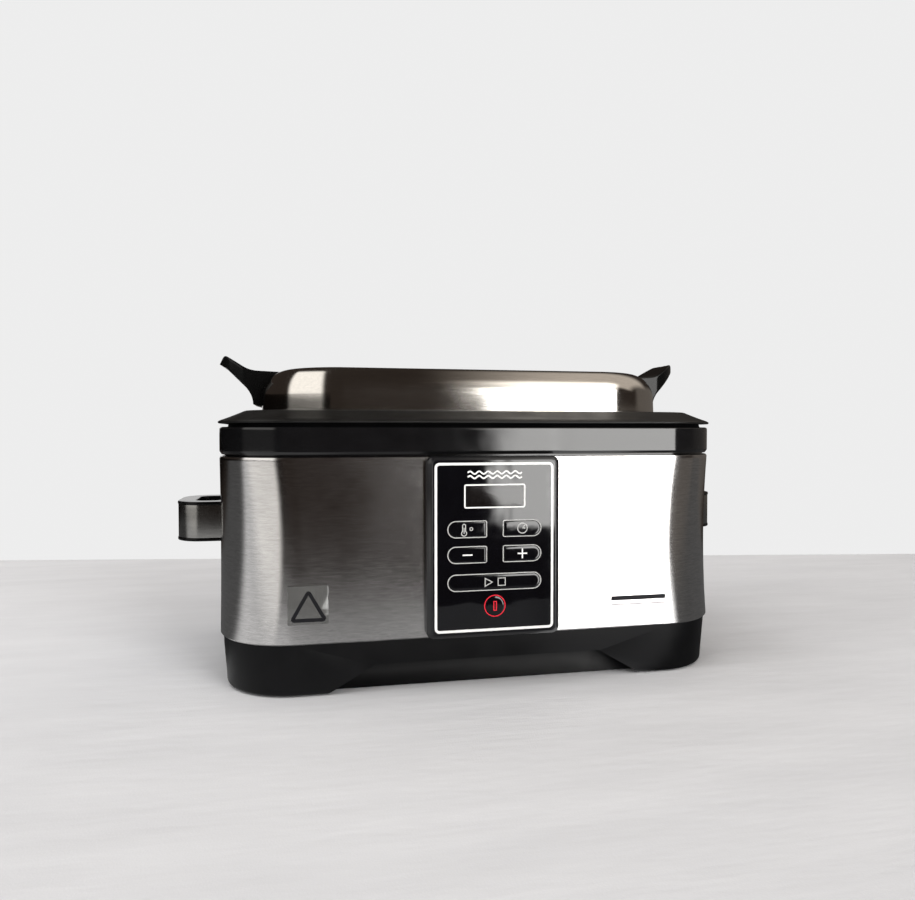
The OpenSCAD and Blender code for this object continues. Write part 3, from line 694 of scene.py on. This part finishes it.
def build_handle_skin(side, sx):
    """The steel band let into the side handle, from the sleeve round and back."""
    x0, x1, half_y, corner = GRIP_LOW.x, GRIP.x - 0.4, GRIP.y - 0.4, 19.6
    z0, z1 = GRIP_LOW.z + 2.35, GRIP.z - 2.35
    def path(inset):
        r = corner - inset
        right = x1 - inset
        top = half_y - inset
        line = [(x0, -top), (x0 + 8, -top)] + arc(right - r, r - top, r, -90, 0, 14)
        return line + arc(right - r, top - r, r, 0, 90, 14) + [(x0 + 8, top), (x0, top)]
    section = fillet_path([(0, z0, 0.35), (0.75, z0), (0.75, z1), (0, z1, 0.35)], closed=True, steps=3)
    lines = [[Vector((sx * a, b, z)) for a, b in path(inset)] for inset, z in section]
    rings = [[line[i] for line in lines] for i in range(len(lines[0]))]
    obj = skin("grip_band_" + side, rings)
    piece(obj, "housing", "handle_steel", "handle_skin_" + side)


# ------------------ control panel

def build_bezel():
    outline = rrect(BEZEL.x * 2, BEZEL.z - BEZEL_LOW.z, 5, 0, PANEL_Z, 10)
    foil_edge = BEZEL.x - FOIL.x
    line = fillet_path([(6, FRONT), (0, FRONT), (0, FRONT - 6.2, 2.6), (2.9, PANEL_Y, 1.3),
                        (foil_edge - 0.05, PANEL_Y, 0.2), (foil_edge - 0.05, PANEL_Y + 1.4)], steps=6)
    obj = skin("panel_frame", panel_rings(outline, line))
    piece(obj, "housing", "panel_plastic", "panel_bezel")


def printed_line(name, outline, width, ink):
    """A printed outline: a thin closed line just above the foil's face."""
    profile = [(0, PANEL_Y), (0, PANEL_Y - PRINT_T), (width, PANEL_Y - PRINT_T), (width, PANEL_Y)]
    piece(skin(name, panel_rings(outline, profile), closed=True), "housing", "keypad_foil", look=ink)


def stroke(points, width, face, closed=False):
    """A flat stroke along points in x and z, as a thin solid in front of face."""
    points = [Vector(p) for p in points]
    count = len(points)
    left, right = [], []
    for i, here in enumerate(points):
        last = points[i - 1] if (closed or i > 0) else here
        after = points[(i + 1) % count] if (closed or i < count - 1) else here
        a = (here - last).normalized() if (here - last).length > 1e-6 else (after - here).normalized()
        b = (after - here).normalized() if (after - here).length > 1e-6 else a
        normal = Vector((-(a.y + b.y), a.x + b.x)).normalized()
        reach = width / 2 / max(normal.dot(Vector((-a.y, a.x))), 0.35)
        left.append(here + normal * reach)
        right.append(here - normal * reach)
    front = face - PRINT_T
    section = [[Vector((p.x, front, p.y)), Vector((q.x, front, q.y)),
                Vector((q.x, face, q.y)), Vector((p.x, face, p.y))] for p, q in zip(left, right)]
    return skin("stroke", section, closed=closed)


def icon(name, strokes, width, face, ink, body, slot):
    """Joins strokes, each (points, closed), to one printed sign."""
    parts = [stroke(points, width, face, closed) for points, closed in strokes]
    piece(join(name, parts), body, slot, look=ink)


def circle_points(x, z, radius, steps=28):
    return arc(x, z, radius, 0, 360, steps)[:-1]


def sign_temperature(x, z):
    """A thermometer with a small degree mark beside it."""
    bulb = arc(x - 2.4, z - 2.6, 1.75, 125, 415, 18)
    stem = [(x - 1.4, z + 2.6)] + arc(x - 2.4, z + 2.6, 1.0, 0, 180, 8) + [(x - 3.4, z + 2.6)]
    return [(bulb + stem, True), ([(x - 2.4, z - 2.8), (x - 2.4, z + 1.2)], False),
            (circle_points(x + 2.6, z + 0.3, 1.0, steps=14), True)]


def sign_timer(x, z):
    hand = [(x, z), (x + 1.6, z + 2.0)]
    return [(circle_points(x, z, 3.4), True), (hand, False), ([(x, z), (x + 2.0, z)], False)]


def sign_minus(x, z):
    return [([(x - 3.4, z), (x + 3.4, z)], False)]


def sign_plus(x, z):
    return [([(x - 3.4, z), (x + 3.4, z)], False), ([(x, z - 3.4), (x, z - 0.4)], False),
            ([(x, z + 0.4), (x, z + 3.4)], False)]


def sign_start(x, z):
    left = x - 4.6
    right = x + 4.6
    return [([(left - 2.4, z - 2.7), (left - 2.4, z + 2.7), (left + 2.6, z)], True),
            ([(right - 2.5, z - 2.5), (right - 2.5, z + 2.5), (right + 2.5, z + 2.5),
              (right + 2.5, z - 2.5)], True)]


def sign_power(x, z):
    return [([(x - 0.9, z - 3.0), (x - 0.9, z + 3.0), (x + 0.9, z + 3.0), (x + 0.9, z - 3.0)], True)]


def build_key(node, outline, sign, width, ink, line_ink):
    """A domed key with its printed sign; its outline is printed on the foil around it."""
    low, high = node_box(node)
    x, z = (low.x + high.x) / 2, (low.z + high.z) / 2
    face = low.y
    shape = outline(x, z)
    line = [(0.9, high.y), (0.9, face + 0.45), (1.0, face + 0.22), (1.25, face + 0.08),
            (1.7, face + 0.02), (2.6, face)]
    body = node + "_cap"
    piece(skin(node + "_dome", panel_rings(shape, line)), body, "key_foil", node)
    printed_line(node + "_outline", shape, 0.62, line_ink)
    icon(node + "_sign", sign(x, z), width, face, ink, body, "key_foil")


def build_keys():
    single = 27.5
    height = 11.7
    def d_key(side):
        return lambda x, z: key_shape(side, single, height, x, z)
    build_key("key_temperature", d_key(-1), sign_temperature, 0.6, "grey_ink", "grey_ink")
    build_key("key_timer", d_key(1), sign_timer, 0.65, "grey_ink", "grey_ink")
    build_key("key_minus", d_key(-1), sign_minus, 0.95, "white_ink", "grey_ink")
    build_key("key_plus", d_key(1), sign_plus, 0.95, "white_ink", "grey_ink")
    build_key("key_start_stop", lambda x, z: rrect(66, height, height / 2 - 0.01, x, z, 12), sign_start,
              0.6, "grey_ink", "grey_ink")
    build_key("key_power", lambda x, z: rrect(15, 15, 7.49, x, z, 12), sign_power, 0.6, "red_ink", "red_ink")


def build_prints():
    """The printed frames of the panel and the display, and a wavy sign above the display."""
    printed_line("panel_line", rrect(83.4, 114.8, 3.4, 0, 98.4, 8), 1.75, "white_ink")
    low, high = node_box("display_window")
    outline = rrect(high.x * 2 - 0.05, high.z - low.z - 0.05, 1.5, 0, (low.z + high.z) / 2, 5)
    printed_line("display_line", outline, 1.0, "white_ink")
    z = high.z + 6.3
    waves = []
    for row in range(2):
        level = z + 1.5 - 3.0 * row
        points = [(-19 + 38 * i / 72, level + 0.9 * math.sin(2 * math.pi * i / 12)) for i in range(73)]
        waves.append((points, False))
    icon("wave_sign", waves, 1.05, PANEL_Y, "white_ink", "housing", "keypad_foil")


def segment(x, z, length, width, upright):
    """One bar of a seven-segment digit, with pointed ends."""
    half, thick = length / 2, width / 2
    points = [(-half, 0), (-half + thick, thick), (half - thick, thick), (half, 0),
              (half - thick, -thick), (-half + thick, -thick)]
    if upright:
        points = [(b, a) for a, b in points]
    return [(x + a, z + b) for a, b in points]


# The seven bars of a digit: their middles in mm from its centre, and whether they stand upright.
DIGIT_BARS = [(0, 5, False), (0, 0, False), (0, -5, False), (-2.7, 2.5, True), (2.7, 2.5, True),
              (-2.7, -2.5, True), (2.7, -2.5, True)]


def build_display():
    """The display module, its four unlit digits and the smoked window before them."""
    low, high = node_box("led_display")
    face = low.y
    middle = (low.z + high.z) / 2
    case = rrect(high.x * 2, high.z - low.z, 0.6, 0, middle, 3)
    line = [(0, high.y), (0, face + 0.5), (0.3, face + 0.15), (0.6, face)]
    piece(skin("display_case", panel_rings(case, line)), "housing", "component_plastic", "led_display",
          look="black_ink")
    bars = []
    for column in range(4):
        x = -13.2 + column * 8.8
        for dx, dz, upright in DIGIT_BARS:
            shape = segment(x + dx + 0.08 * dz, middle + dz, 4.6, 1.2, upright)
            bars.append(prism_back("bar", shape, face, face - 0.12))
    piece(join("display_digits", bars), "housing", "component_plastic", look="led_segment")
    low, high = node_box("display_window")
    outline = rrect(high.x * 2, high.z - low.z, 1.5, 0, (low.z + high.z) / 2, 6)
    line = [(0.3, high.y), (0, high.y - 0.3), (0, low.y + 0.12), (0.12, low.y + 0.02), (0.4, low.y + 0.01)]
    piece(skin("display_glass", panel_rings(outline, line)), "housing", "smoked_window", "display_window")


def build_marks():
    """Plain stand-ins for the marks on the sleeve: a clear square film with a triangle, and two rules."""
    film = rrect(26.5, 25.5, 1.0, -124.8, 62.4, 4)
    film_face = FRONT - 0.12
    line = [(0, FRONT), (0, FRONT - 0.08), (0.1, film_face)]
    piece(skin("clear_film", panel_rings(film, line)), "housing", "smoked_window", look="clear_film")
    triangle = fillet_path([(-135.2, 52.6, 0.9), (-113.8, 52.6, 0.9), (-124.5, 71.4, 0.9)], closed=True)
    icon("film_triangle", [(triangle, True)], 2.4, film_face, "black_ink", "housing", "smoked_window")
    for name, z, width in (("mark_bar", 57.2, 3.2), ("mark_rule", 52.6, 0.6)):
        line = [(88.2, z), (130.2, z)]
        icon(name, [(line, False)], width, FRONT, "black_ink", "housing", "sleeve_steel")


# ------------------ pot, rack and lid

def build_pot():
    """The pot in one line: under its floor, up the wall, out over the sloping flange and down inside."""
    z0 = POT_LOW.z
    floor_r = 12.0
    wall = POT_R + POT_WALL
    under = [(2, z0)] + arc(wall - floor_r, z0 + floor_r, floor_r, -90, 0, 10)
    under += [(wall, LID_LOW.z - 3.5), (SEAT_R + POT_WALL, LID_LOW.z - 3.5), (SEAT_R + POT_WALL, RIM_TOP - 2)]
    inner = fillet_path([(SEAT_R + 1.2, RIM_TOP), (SEAT_R, RIM_TOP, 0.8), (SEAT_R, LID_LOW.z - 2, 1.0),
                         (POT_R, LID_LOW.z - 2, 1.2), (POT_R, z0 + floor_r)], steps=4)
    inner += arc(wall - floor_r, z0 + floor_r, floor_r - POT_WALL, 0, -90, 10) + [(2, z0 + POT_WALL)]
    lip_top = RIM_TOP - 7.2
    crease = FLANGE_R - 18.5
    flange = [(crease, RIM_TOP - 2), (FLANGE_R - 1.5, lip_top - 1.7)]
    flange += arc(FLANGE_R - 0.9, lip_top - 0.95, 0.9, -80, 80, 6)
    for t in (0.1, 0.25, 0.4, 0.55, 0.7, 0.84, 0.94):
        flange.append((FLANGE_R - 18.5 * t, lip_top + 7.2 * t ** 1.12))
    flange += [(crease - 0.3, RIM_TOP - 0.02), (crease - 1.5, RIM_TOP)]
    rings = plan_rings(CAVITY, under) + plan_rings(FLANGE, flange) + plan_rings(CAVITY, inner)
    obj = skin("pot_shell", rings)
    piece(obj, "pot", "pot_coating", "cooking_pot")


def lid_line(inset):
    """The lid's section from its lower edge up over the shoulder to the crown."""
    side, shoulder = LID_R - 0.5, 20.5
    z_side = LID.z - 1.8 - shoulder
    line = arc(side - shoulder, z_side, shoulder - inset, 0, 84, 16)
    return line + [(18, LID.z - 1.05 - inset), (8, LID.z - 0.75 - inset), (3, LID.z - 0.68 - inset)]


def lid_crown(inset):
    """Rings that carry the crown on from the corners to the middle."""
    rings = []
    for share in (0.9, 0.75, 0.55, 0.35, 0.15, 0.02):
        z = LID.z - inset - 0.66 * share ** 1.5
        rings.append(plan_ring((CAVITY[0] * share, CAVITY[1] * share), 3 * share, z))
    return rings


def build_lid():
    sheet = LID_SHEET
    low = LID_LOW.z
    hem = fillet_path([(LID_R - sheet - 0.1, low + sheet), (LID_R - 6, low + sheet, 0.3),
                       (LID_R - 6, low, 0.3), (LID_R, low, 0.9), (LID_R - 0.5, low + 12)], steps=4)
    inside = lid_crown(sheet)[::-1] + plan_rings(CAVITY, lid_line(sheet)[::-1])
    outside = plan_rings(CAVITY, lid_line(0)) + lid_crown(0)
    obj = skin("lid_shell", inside + plan_rings(CAVITY, hem) + outside)
    piece(obj, "lid", "lid_steel", "lid_dome")


def build_gasket():
    low, high = node_box("lid_gasket")
    profile = fillet_path([(LID_R - 5.5, low.z, 0.5), (LID_R - 1, low.z, 0.5), (LID_R - 1, high.z, 0.2),
                           (LID_R - 5.5, high.z, 0.2)], closed=True, steps=3)
    obj = skin("lid_seal", plan_rings(CAVITY, profile), closed=True)
    piece(obj, "lid", "gasket_silicone", "lid_gasket")


def height_at(line, x):
    """Height of a line of points (x, z) at x; the line runs towards larger x."""
    for (x0, z0), (x1, z1) in zip(line, line[1:]):
        if x0 <= x <= x1 and x1 > x0:
            return z0 + (z1 - z0) * (x - x0) / (x1 - x0)
    return line[-1][1] if x > line[-1][0] else line[0][1]


def wing_lines(reach):
    """The lid handle's top line and its underside, from the lid to the tip."""
    top = [(reach - 48, 222.6), (reach - 31, 223.3)] + arc(reach - 31, 246.3, 23, -90, -54, 24)[1:]
    top = fillet_path([*top, (reach - 4.8, 235.9, 2.6), (reach, 229.3)], steps=8)
    bow = [(a, b) for a, b in arc(LID.x + 26.4, 197, 20, 178, 133, 24)]
    under = [(LID.x - 0.6, 195.8), (LID.x + 6.2, 195.8), *bow, (reach - 6.5, 225.2, 1.2), (reach, 229.3)]
    return top, fillet_path(under, steps=4)


def wing_ring(reach, half, inset, heights, root):
    """One closed ring of the lid handle: out along one side, round the end and back."""
    radius = half - inset
    side = [(x, -radius, z) for x, z in [root] + heights(None)]
    bend = [(reach - half + radius * math.cos(a), radius * math.sin(a))
            for a in (math.pi * (k / 44 - 0.5) for k in range(1, 44))]
    end = [(x, y, heights(x)) for x, y in bend]
    return side + end + [(x, -y, z) for x, y, z in reversed(side)]


def build_lid_handle(side, sx):
    """A wing with a half-round end, built from rings over its top, down its wall and under it."""
    reach, half, edge = 191.0, 25.0, 1.4
    top, under = wing_lines(reach)
    start = reach - half
    tops = [(start - 20 + 20 * i / 7, height_at(top, start - 20 + 20 * i / 7)) for i in range(8)]
    knee = [p for p in under if p[0] <= start + 0.5]
    unders = [knee[round(i * (len(knee) - 1) / 7)] for i in range(8)]
    dome = [(CAVITY[0] + r, z) for r, z in lid_line(0.6)]
    dome = [(dome[0][0], 190.0)] + dome

    def on_dome(z):
        return height_at([(b, a) for a, b in dome], z)

    def surface(share, drop):
        """Heights at a share of the way from top to underside, drawn in by drop at the edges."""
        def heights(x):
            if x is None:
                line = []
                for (x0, z0), (x1, z1) in zip(tops, unders):
                    z = z0 + (z1 - z0) * share + drop * (1 if share > 0.5 else -1)
                    line.append((x0 + (x1 - x0) * share, z))
                return line
            high, low = height_at(top, x), height_at(under, x)
            limit = min(edge, 0.45 * (high - low)) / edge
            return high + (low - high) * share + drop * limit * (1 if share > 0.5 else -1)
        z = heights(None)[0][1]
        return heights, (on_dome(z), z)

    insets = [25, 23, 20, 16, 12, 8, 5, 3, 2]
    rounding = [(edge * (1 - math.sin(a)), edge * (1 - math.cos(a))) for a in
                (math.pi / 2 * k / 4 for k in range(5))]
    steps = [(inset, 0.0, 0.0) for inset in insets]
    steps += [(inset, 0.0, drop) for inset, drop in rounding]
    steps += [(0.0, share / 8, edge * (1 - share / 4)) for share in range(1, 4)]
    steps += [(0.0, 0.5 + share / 8, edge * share / 4) for share in range(1, 4)]
    steps += [(inset, 1.0, drop) for inset, drop in reversed(rounding)]
    steps += [(inset, 1.0, 0.0) for inset in reversed(insets)]
    rings = []
    for inset, share, drop in steps:
        ring = wing_ring(reach, half, inset, *surface(share, drop))
        rings.append([Vector((sx * x, y, z)) for x, y, z in ring])
    obj = skin("lid_grip_" + side, rings, capped=False)
    piece(obj, "lid", "handle_plastic", "lid_handle_" + side)


def bent_wire(name, corners, radius, bend):
    """A round wire through corner points, each bent to the same radius."""
    path = [Vector(corners[0])]
    for before, here, after in zip(corners, corners[1:], corners[2:]):
        here = Vector(here)
        u = (Vector(before) - here).normalized()
        v = (Vector(after) - here).normalized()
        for k in range(9):
            t = k / 8
            path.append(here + u * bend * (1 - t) ** 2 + v * bend * t ** 2)
    path.append(Vector(corners[-1]))
    return skin(name, tube_rings(path, radius, 16))


def build_rack():
    low, high = node_box("pouch_rack")
    r = 2.0
    x, y, z0, z1 = high.x - r, high.y - r, low.z + r, high.z - r
    wires = []
    for sy in (-1, 1):
        wires.append(bent_wire("wire", [(-x, sy * y, z0), (x, sy * y, z0)], r, 1))
    for sx in (-1, 1):
        wires.append(bent_wire("wire", [(sx * x, -y, z0), (sx * x, y, z0)], r, 1))
    pitch, count = 56.0, 5
    for i in range(count):
        at = (i - (count - 1) / 2) * pitch
        wires.append(bent_wire("wire", [(at, -y, z0), (at, -y, z1), (at, y, z1), (at, y, z0)], r, 11))
    piece(join("pouch_wires", wires), "rack", "rack_wire", "pouch_rack")


# ------------------ the rest of the CAD nodes

def dress_nodes():
    """Every CAD node that still shows gets the procedural material of its slot."""
    slots = {entry["node"]: entry["material_slot"] for entry in frame["record"]["subparts"]}
    for name, obj in frame["nodes"].items():
        if obj.hide_render:
            continue
        obj.data.materials.clear()
        obj.data.materials.append(MATERIALS[slots[name]])
        obj.data.shade_smooth()


# ------------------ studio

def window(g, value, low, high, soft):
    """1 between low and high, falling off over soft on both sides."""
    def step(edge, before, after):
        return g.add("MapRange", {"Value": value, "From Min": edge - soft, "From Max": edge + soft,
                                  "To Min": before, "To Max": after},
                     interpolation_type="SMOOTHSTEP").outputs[0]
    return g.math("MULTIPLY", step(low, 0.0, 1.0), step(high, 1.0, 0.0))


# Bright areas of the studio, in degrees: the kind of face that they are laid out for, how far they reach
# sideways, from what tilt to what tilt; then softness, colour and strength. For a front face, the tilt runs
# from the front horizon (0) over the top (90) to the rear horizon (180).
SOFT_AREAS = [
    ("front", (15.0, 20.5), (-7.4, 34), 0.8, (1.0, 0.99, 0.97), 9.0),
    ("front", (20.5, 38), (-45, 34), 1.3, (1.0, 0.99, 0.97), 9.0),
    ("front", (13.1, 15.2), (5.5, 34), 1.0, (1.0, 0.98, 0.94), 2.0),
    ("front", (15.0, 38), (30, 66), 5.0, (1.0, 0.96, 0.90), 2.2),
    ("front", (15, 60), (52, 134), 7.0, (0.97, 0.88, 0.78), 0.60),
    ("front", (-20, 20), (168, 180), 3.0, (1.0, 1.0, 1.0), 0.80),
    ("left", (-84, -31), (-14, 112), 4.0, (1.0, 0.98, 0.94), 1.4),
    ("right", (44, 78), (-20, -3), 3.0, (0.95, 0.88, 0.80), 0.14),
    ("right", (78, 150), (-20, 60), 6.0, (0.95, 0.88, 0.80), 0.11),
]
# The azimuth of the line of sight to each kind of corner face; a front face needs none.
LOOKS = {"front": None, "left": 1.0, "right": 26.0}
# A dark stand before the bright areas: sideways, elevation, softness and the share that it lets through.
DARK_STAND = ((-95, -20), (-5.0, 5.6), 0.4, 0.1)
ROOM_COLOR = (0.032, 0.025, 0.021)
# What the camera itself sees behind the object.
SEEN_COLOR = (0.85, 0.85, 0.85)
# What polished faces see of the table: its brightness, and glints by azimuth, softness and added brightness.
TABLE_SHEEN = 0.10
TABLE_GLINTS = [((-31, 18), 4.0, 0.26), ((-82, -31), 5.0, 0.66), ((20, 47), 2.5, 1.5)]
NO_LIMIT = 400  # a tilt beyond all others


def degrees_around(g, x, y):
    """Azimuth in degrees: 0 to the front, positive to the right."""
    return g.math("DEGREES", g.math("ARCTAN2", x, g.math("MULTIPLY", y, -1.0)))


def grey(g, value):
    return g.add("CombineXYZ", {0: value, 1: value, 2: value}).outputs[0]


def spot_on(g, direction, look):
    """Where a direction lies, as a sideways angle and a tilt.

    Round a corner, both stay the same up a wall and over its rounded shoulder when they are measured
    on the face that reflects the direction to an eye that looks along the azimuth look.
    """
    x, y, z = direction
    if look is None:
        return g.math("DEGREES", g.math("ARCSINE", x)), degrees_around(g, z, y)
    along = math.radians(look)
    across = g.math("SUBTRACT", x, math.sin(along))
    front = g.math("SUBTRACT", y, math.cos(along))
    plan = g.math("SQRT", g.math("ADD", g.math("MULTIPLY", across, across), g.math("MULTIPLY", front, front)))
    turn = g.math("MULTIPLY", degrees_around(g, across, front), 2.0)
    rise = g.math("MULTIPLY", g.math("DEGREES", g.math("ARCTAN2", z, plan)), 2.0)
    return g.math("ADD", turn, look), rise


def build_world():
    """The studio that polished faces reflect; the camera sees a plain backdrop."""
    world = bpy.data.worlds.new("studio")
    bpy.context.scene.world = world
    world.use_nodes = True
    g = Graph(world.node_tree)
    direction = g.add("TexCoord").outputs["Generated"]
    direction = g.add("SeparateXYZ", {0: direction}).outputs
    spots = {face: spot_on(g, direction, look) for face, look in LOOKS.items()}
    total = ROOM_COLOR
    for face, side, (low, high), soft, color, strength in SOFT_AREAS:
        sideways, tilt = spots[face]
        mask = g.math("MULTIPLY", window(g, sideways, *side, soft), window(g, tilt, low, NO_LIMIT, soft))
        mask = g.math("MULTIPLY", mask, window(g, tilt, -NO_LIMIT, high, soft * 2))
        area = g.color_mix(mask, (0, 0, 0), scaled(color, strength))
        total = g.color_mix(1.0, total, area, blend_type="ADD")
    side, elevation, soft, share = DARK_STAND
    height = g.math("DEGREES", g.math("ARCSINE", direction[2]))
    mask = g.math("MULTIPLY", window(g, spots["front"][0], *side, soft), window(g, height, *elevation, soft))
    shade_left = grey(g, g.spread(mask, 1.0, share, (0.0, 1.0)))
    total = g.color_mix(1.0, total, shade_left, blend_type="MULTIPLY")
    bpy.context.scene.view_settings.view_transform = "Standard"
    seen = g.add("LightPath").outputs["Is Camera Ray"]
    color = g.color_mix(seen, total, SEEN_COLOR)
    g.add("OutputWorld", {"Surface": g.add("Background", {"Color": color, "Strength": 1.0}).outputs[0]})


def area_light(name, place, target, size, power):
    """A soft light at place, facing target, both in metres; polished faces don't show it."""
    light = bpy.data.lights.new(name, "AREA")
    light.shape = "RECTANGLE"
    light.size, light.size_y = size
    light.energy = power
    obj = bpy.data.objects.new(name, light)
    obj.location = place
    obj.rotation_euler = (Vector(target) - Vector(place)).to_track_quat("-Z", "Y").to_euler()
    obj.visible_glossy = False
    bpy.context.scene.collection.objects.link(obj)


def build_lights():
    area_light("key_above", (-0.35, -0.6, 1.5), (0, 0, 0.05), (1.6, 1.2), 6.3)
    area_light("fill_left", (-1.5, -0.3, 0.9), (0, 0, 0.1), (1.0, 1.0), 4.2)
    area_light("wash_back", (0.0, 1.2, 1.4), (0, 0.3, 0), (2.0, 1.0), 7.6)


def build_floor():
    """A pale table top; polished faces see it darker, with a glint below each bright area."""
    bm = bmesh.new()
    for x, y in ((-2200, -375), (2200, -375), (2200, 60), (-2200, 790)):
        bm.verts.new((x, y, 0))
    bm.faces.new(bm.verts)
    obj = make_mesh("table_top", bm)
    material, g = new_material("table_cloth")
    weave = g.noise((1, 1, 1), 900, 3.0)
    cloth = g.noise((3, 12, 1), 2, 4.0, 0.6)
    normal = g.bump(cloth, 1.5 * MM)
    shader = g.add("BsdfPrincipled", {
        "Base Color": g.shades(cloth, (0.67, 0.675, 0.70), (0.735, 0.74, 0.765)),
        "Roughness": g.spread(weave, 0.55, 0.7),
        "Specular IOR Level": 0.3,
        "Normal": g.bump(weave, 0.08 * MM, below=normal),
    })
    x, y, _ = g.add("SeparateXYZ", {0: g.add("TexCoord").outputs["Object"]}).outputs
    azimuth = degrees_around(g, x, y)
    glint = TABLE_SHEEN
    for reach, soft, bright in TABLE_GLINTS:
        glint = g.math("ADD", glint, g.math("MULTIPLY", window(g, azimuth, *reach, soft), bright))
    sheen = g.add("Emission", {"Color": grey(g, glint), "Strength": 1.0})
    polished = g.add("LightPath").outputs["Is Glossy Ray"]
    both = g.add("MixShader", {0: polished, 1: shader.outputs[0], 2: sheen.outputs[0]})
    g.add("OutputMaterial", {"Surface": both.outputs[0]})
    obj.data.materials.append(material)


# Camera: place in metres, then how far it is turned to the right and tilted down, in radians.
CAMERA_PLACE = (-0.1278, -0.6075, 0.176)
CAMERA_TURN = 0.207
CAMERA_TILT = 0.0235
SENSOR_WIDTH = 36.0  # mm, as is the lens
LENS = 29.03607


def build_camera():
    camera = bpy.data.cameras.new("photo_view")
    camera.sensor_width = SENSOR_WIDTH
    camera.lens = LENS
    obj = bpy.data.objects.new("photo_view", camera)
    obj.location = CAMERA_PLACE
    obj.rotation_euler = (math.pi / 2 - CAMERA_TILT, 0, -CAMERA_TURN)
    bpy.context.scene.collection.objects.link(obj)
    bpy.context.scene.camera = obj


def build_all():
    build_sleeve()
    build_ring()
    build_base()
    build_feet()
    build_gland()
    for side, sx in (("left", -1), ("right", 1)):
        build_side_handle(side, sx)
        build_handle_skin(side, sx)
        build_lid_handle(side, sx)
    build_bezel()
    build_prints()
    build_keys()
    build_display()
    build_marks()
    build_pot()
    build_rack()
    build_lid()
    build_gasket()
    dress_nodes()
    build_world()
    build_lights()
    build_floor()
    build_camera()


build_all()
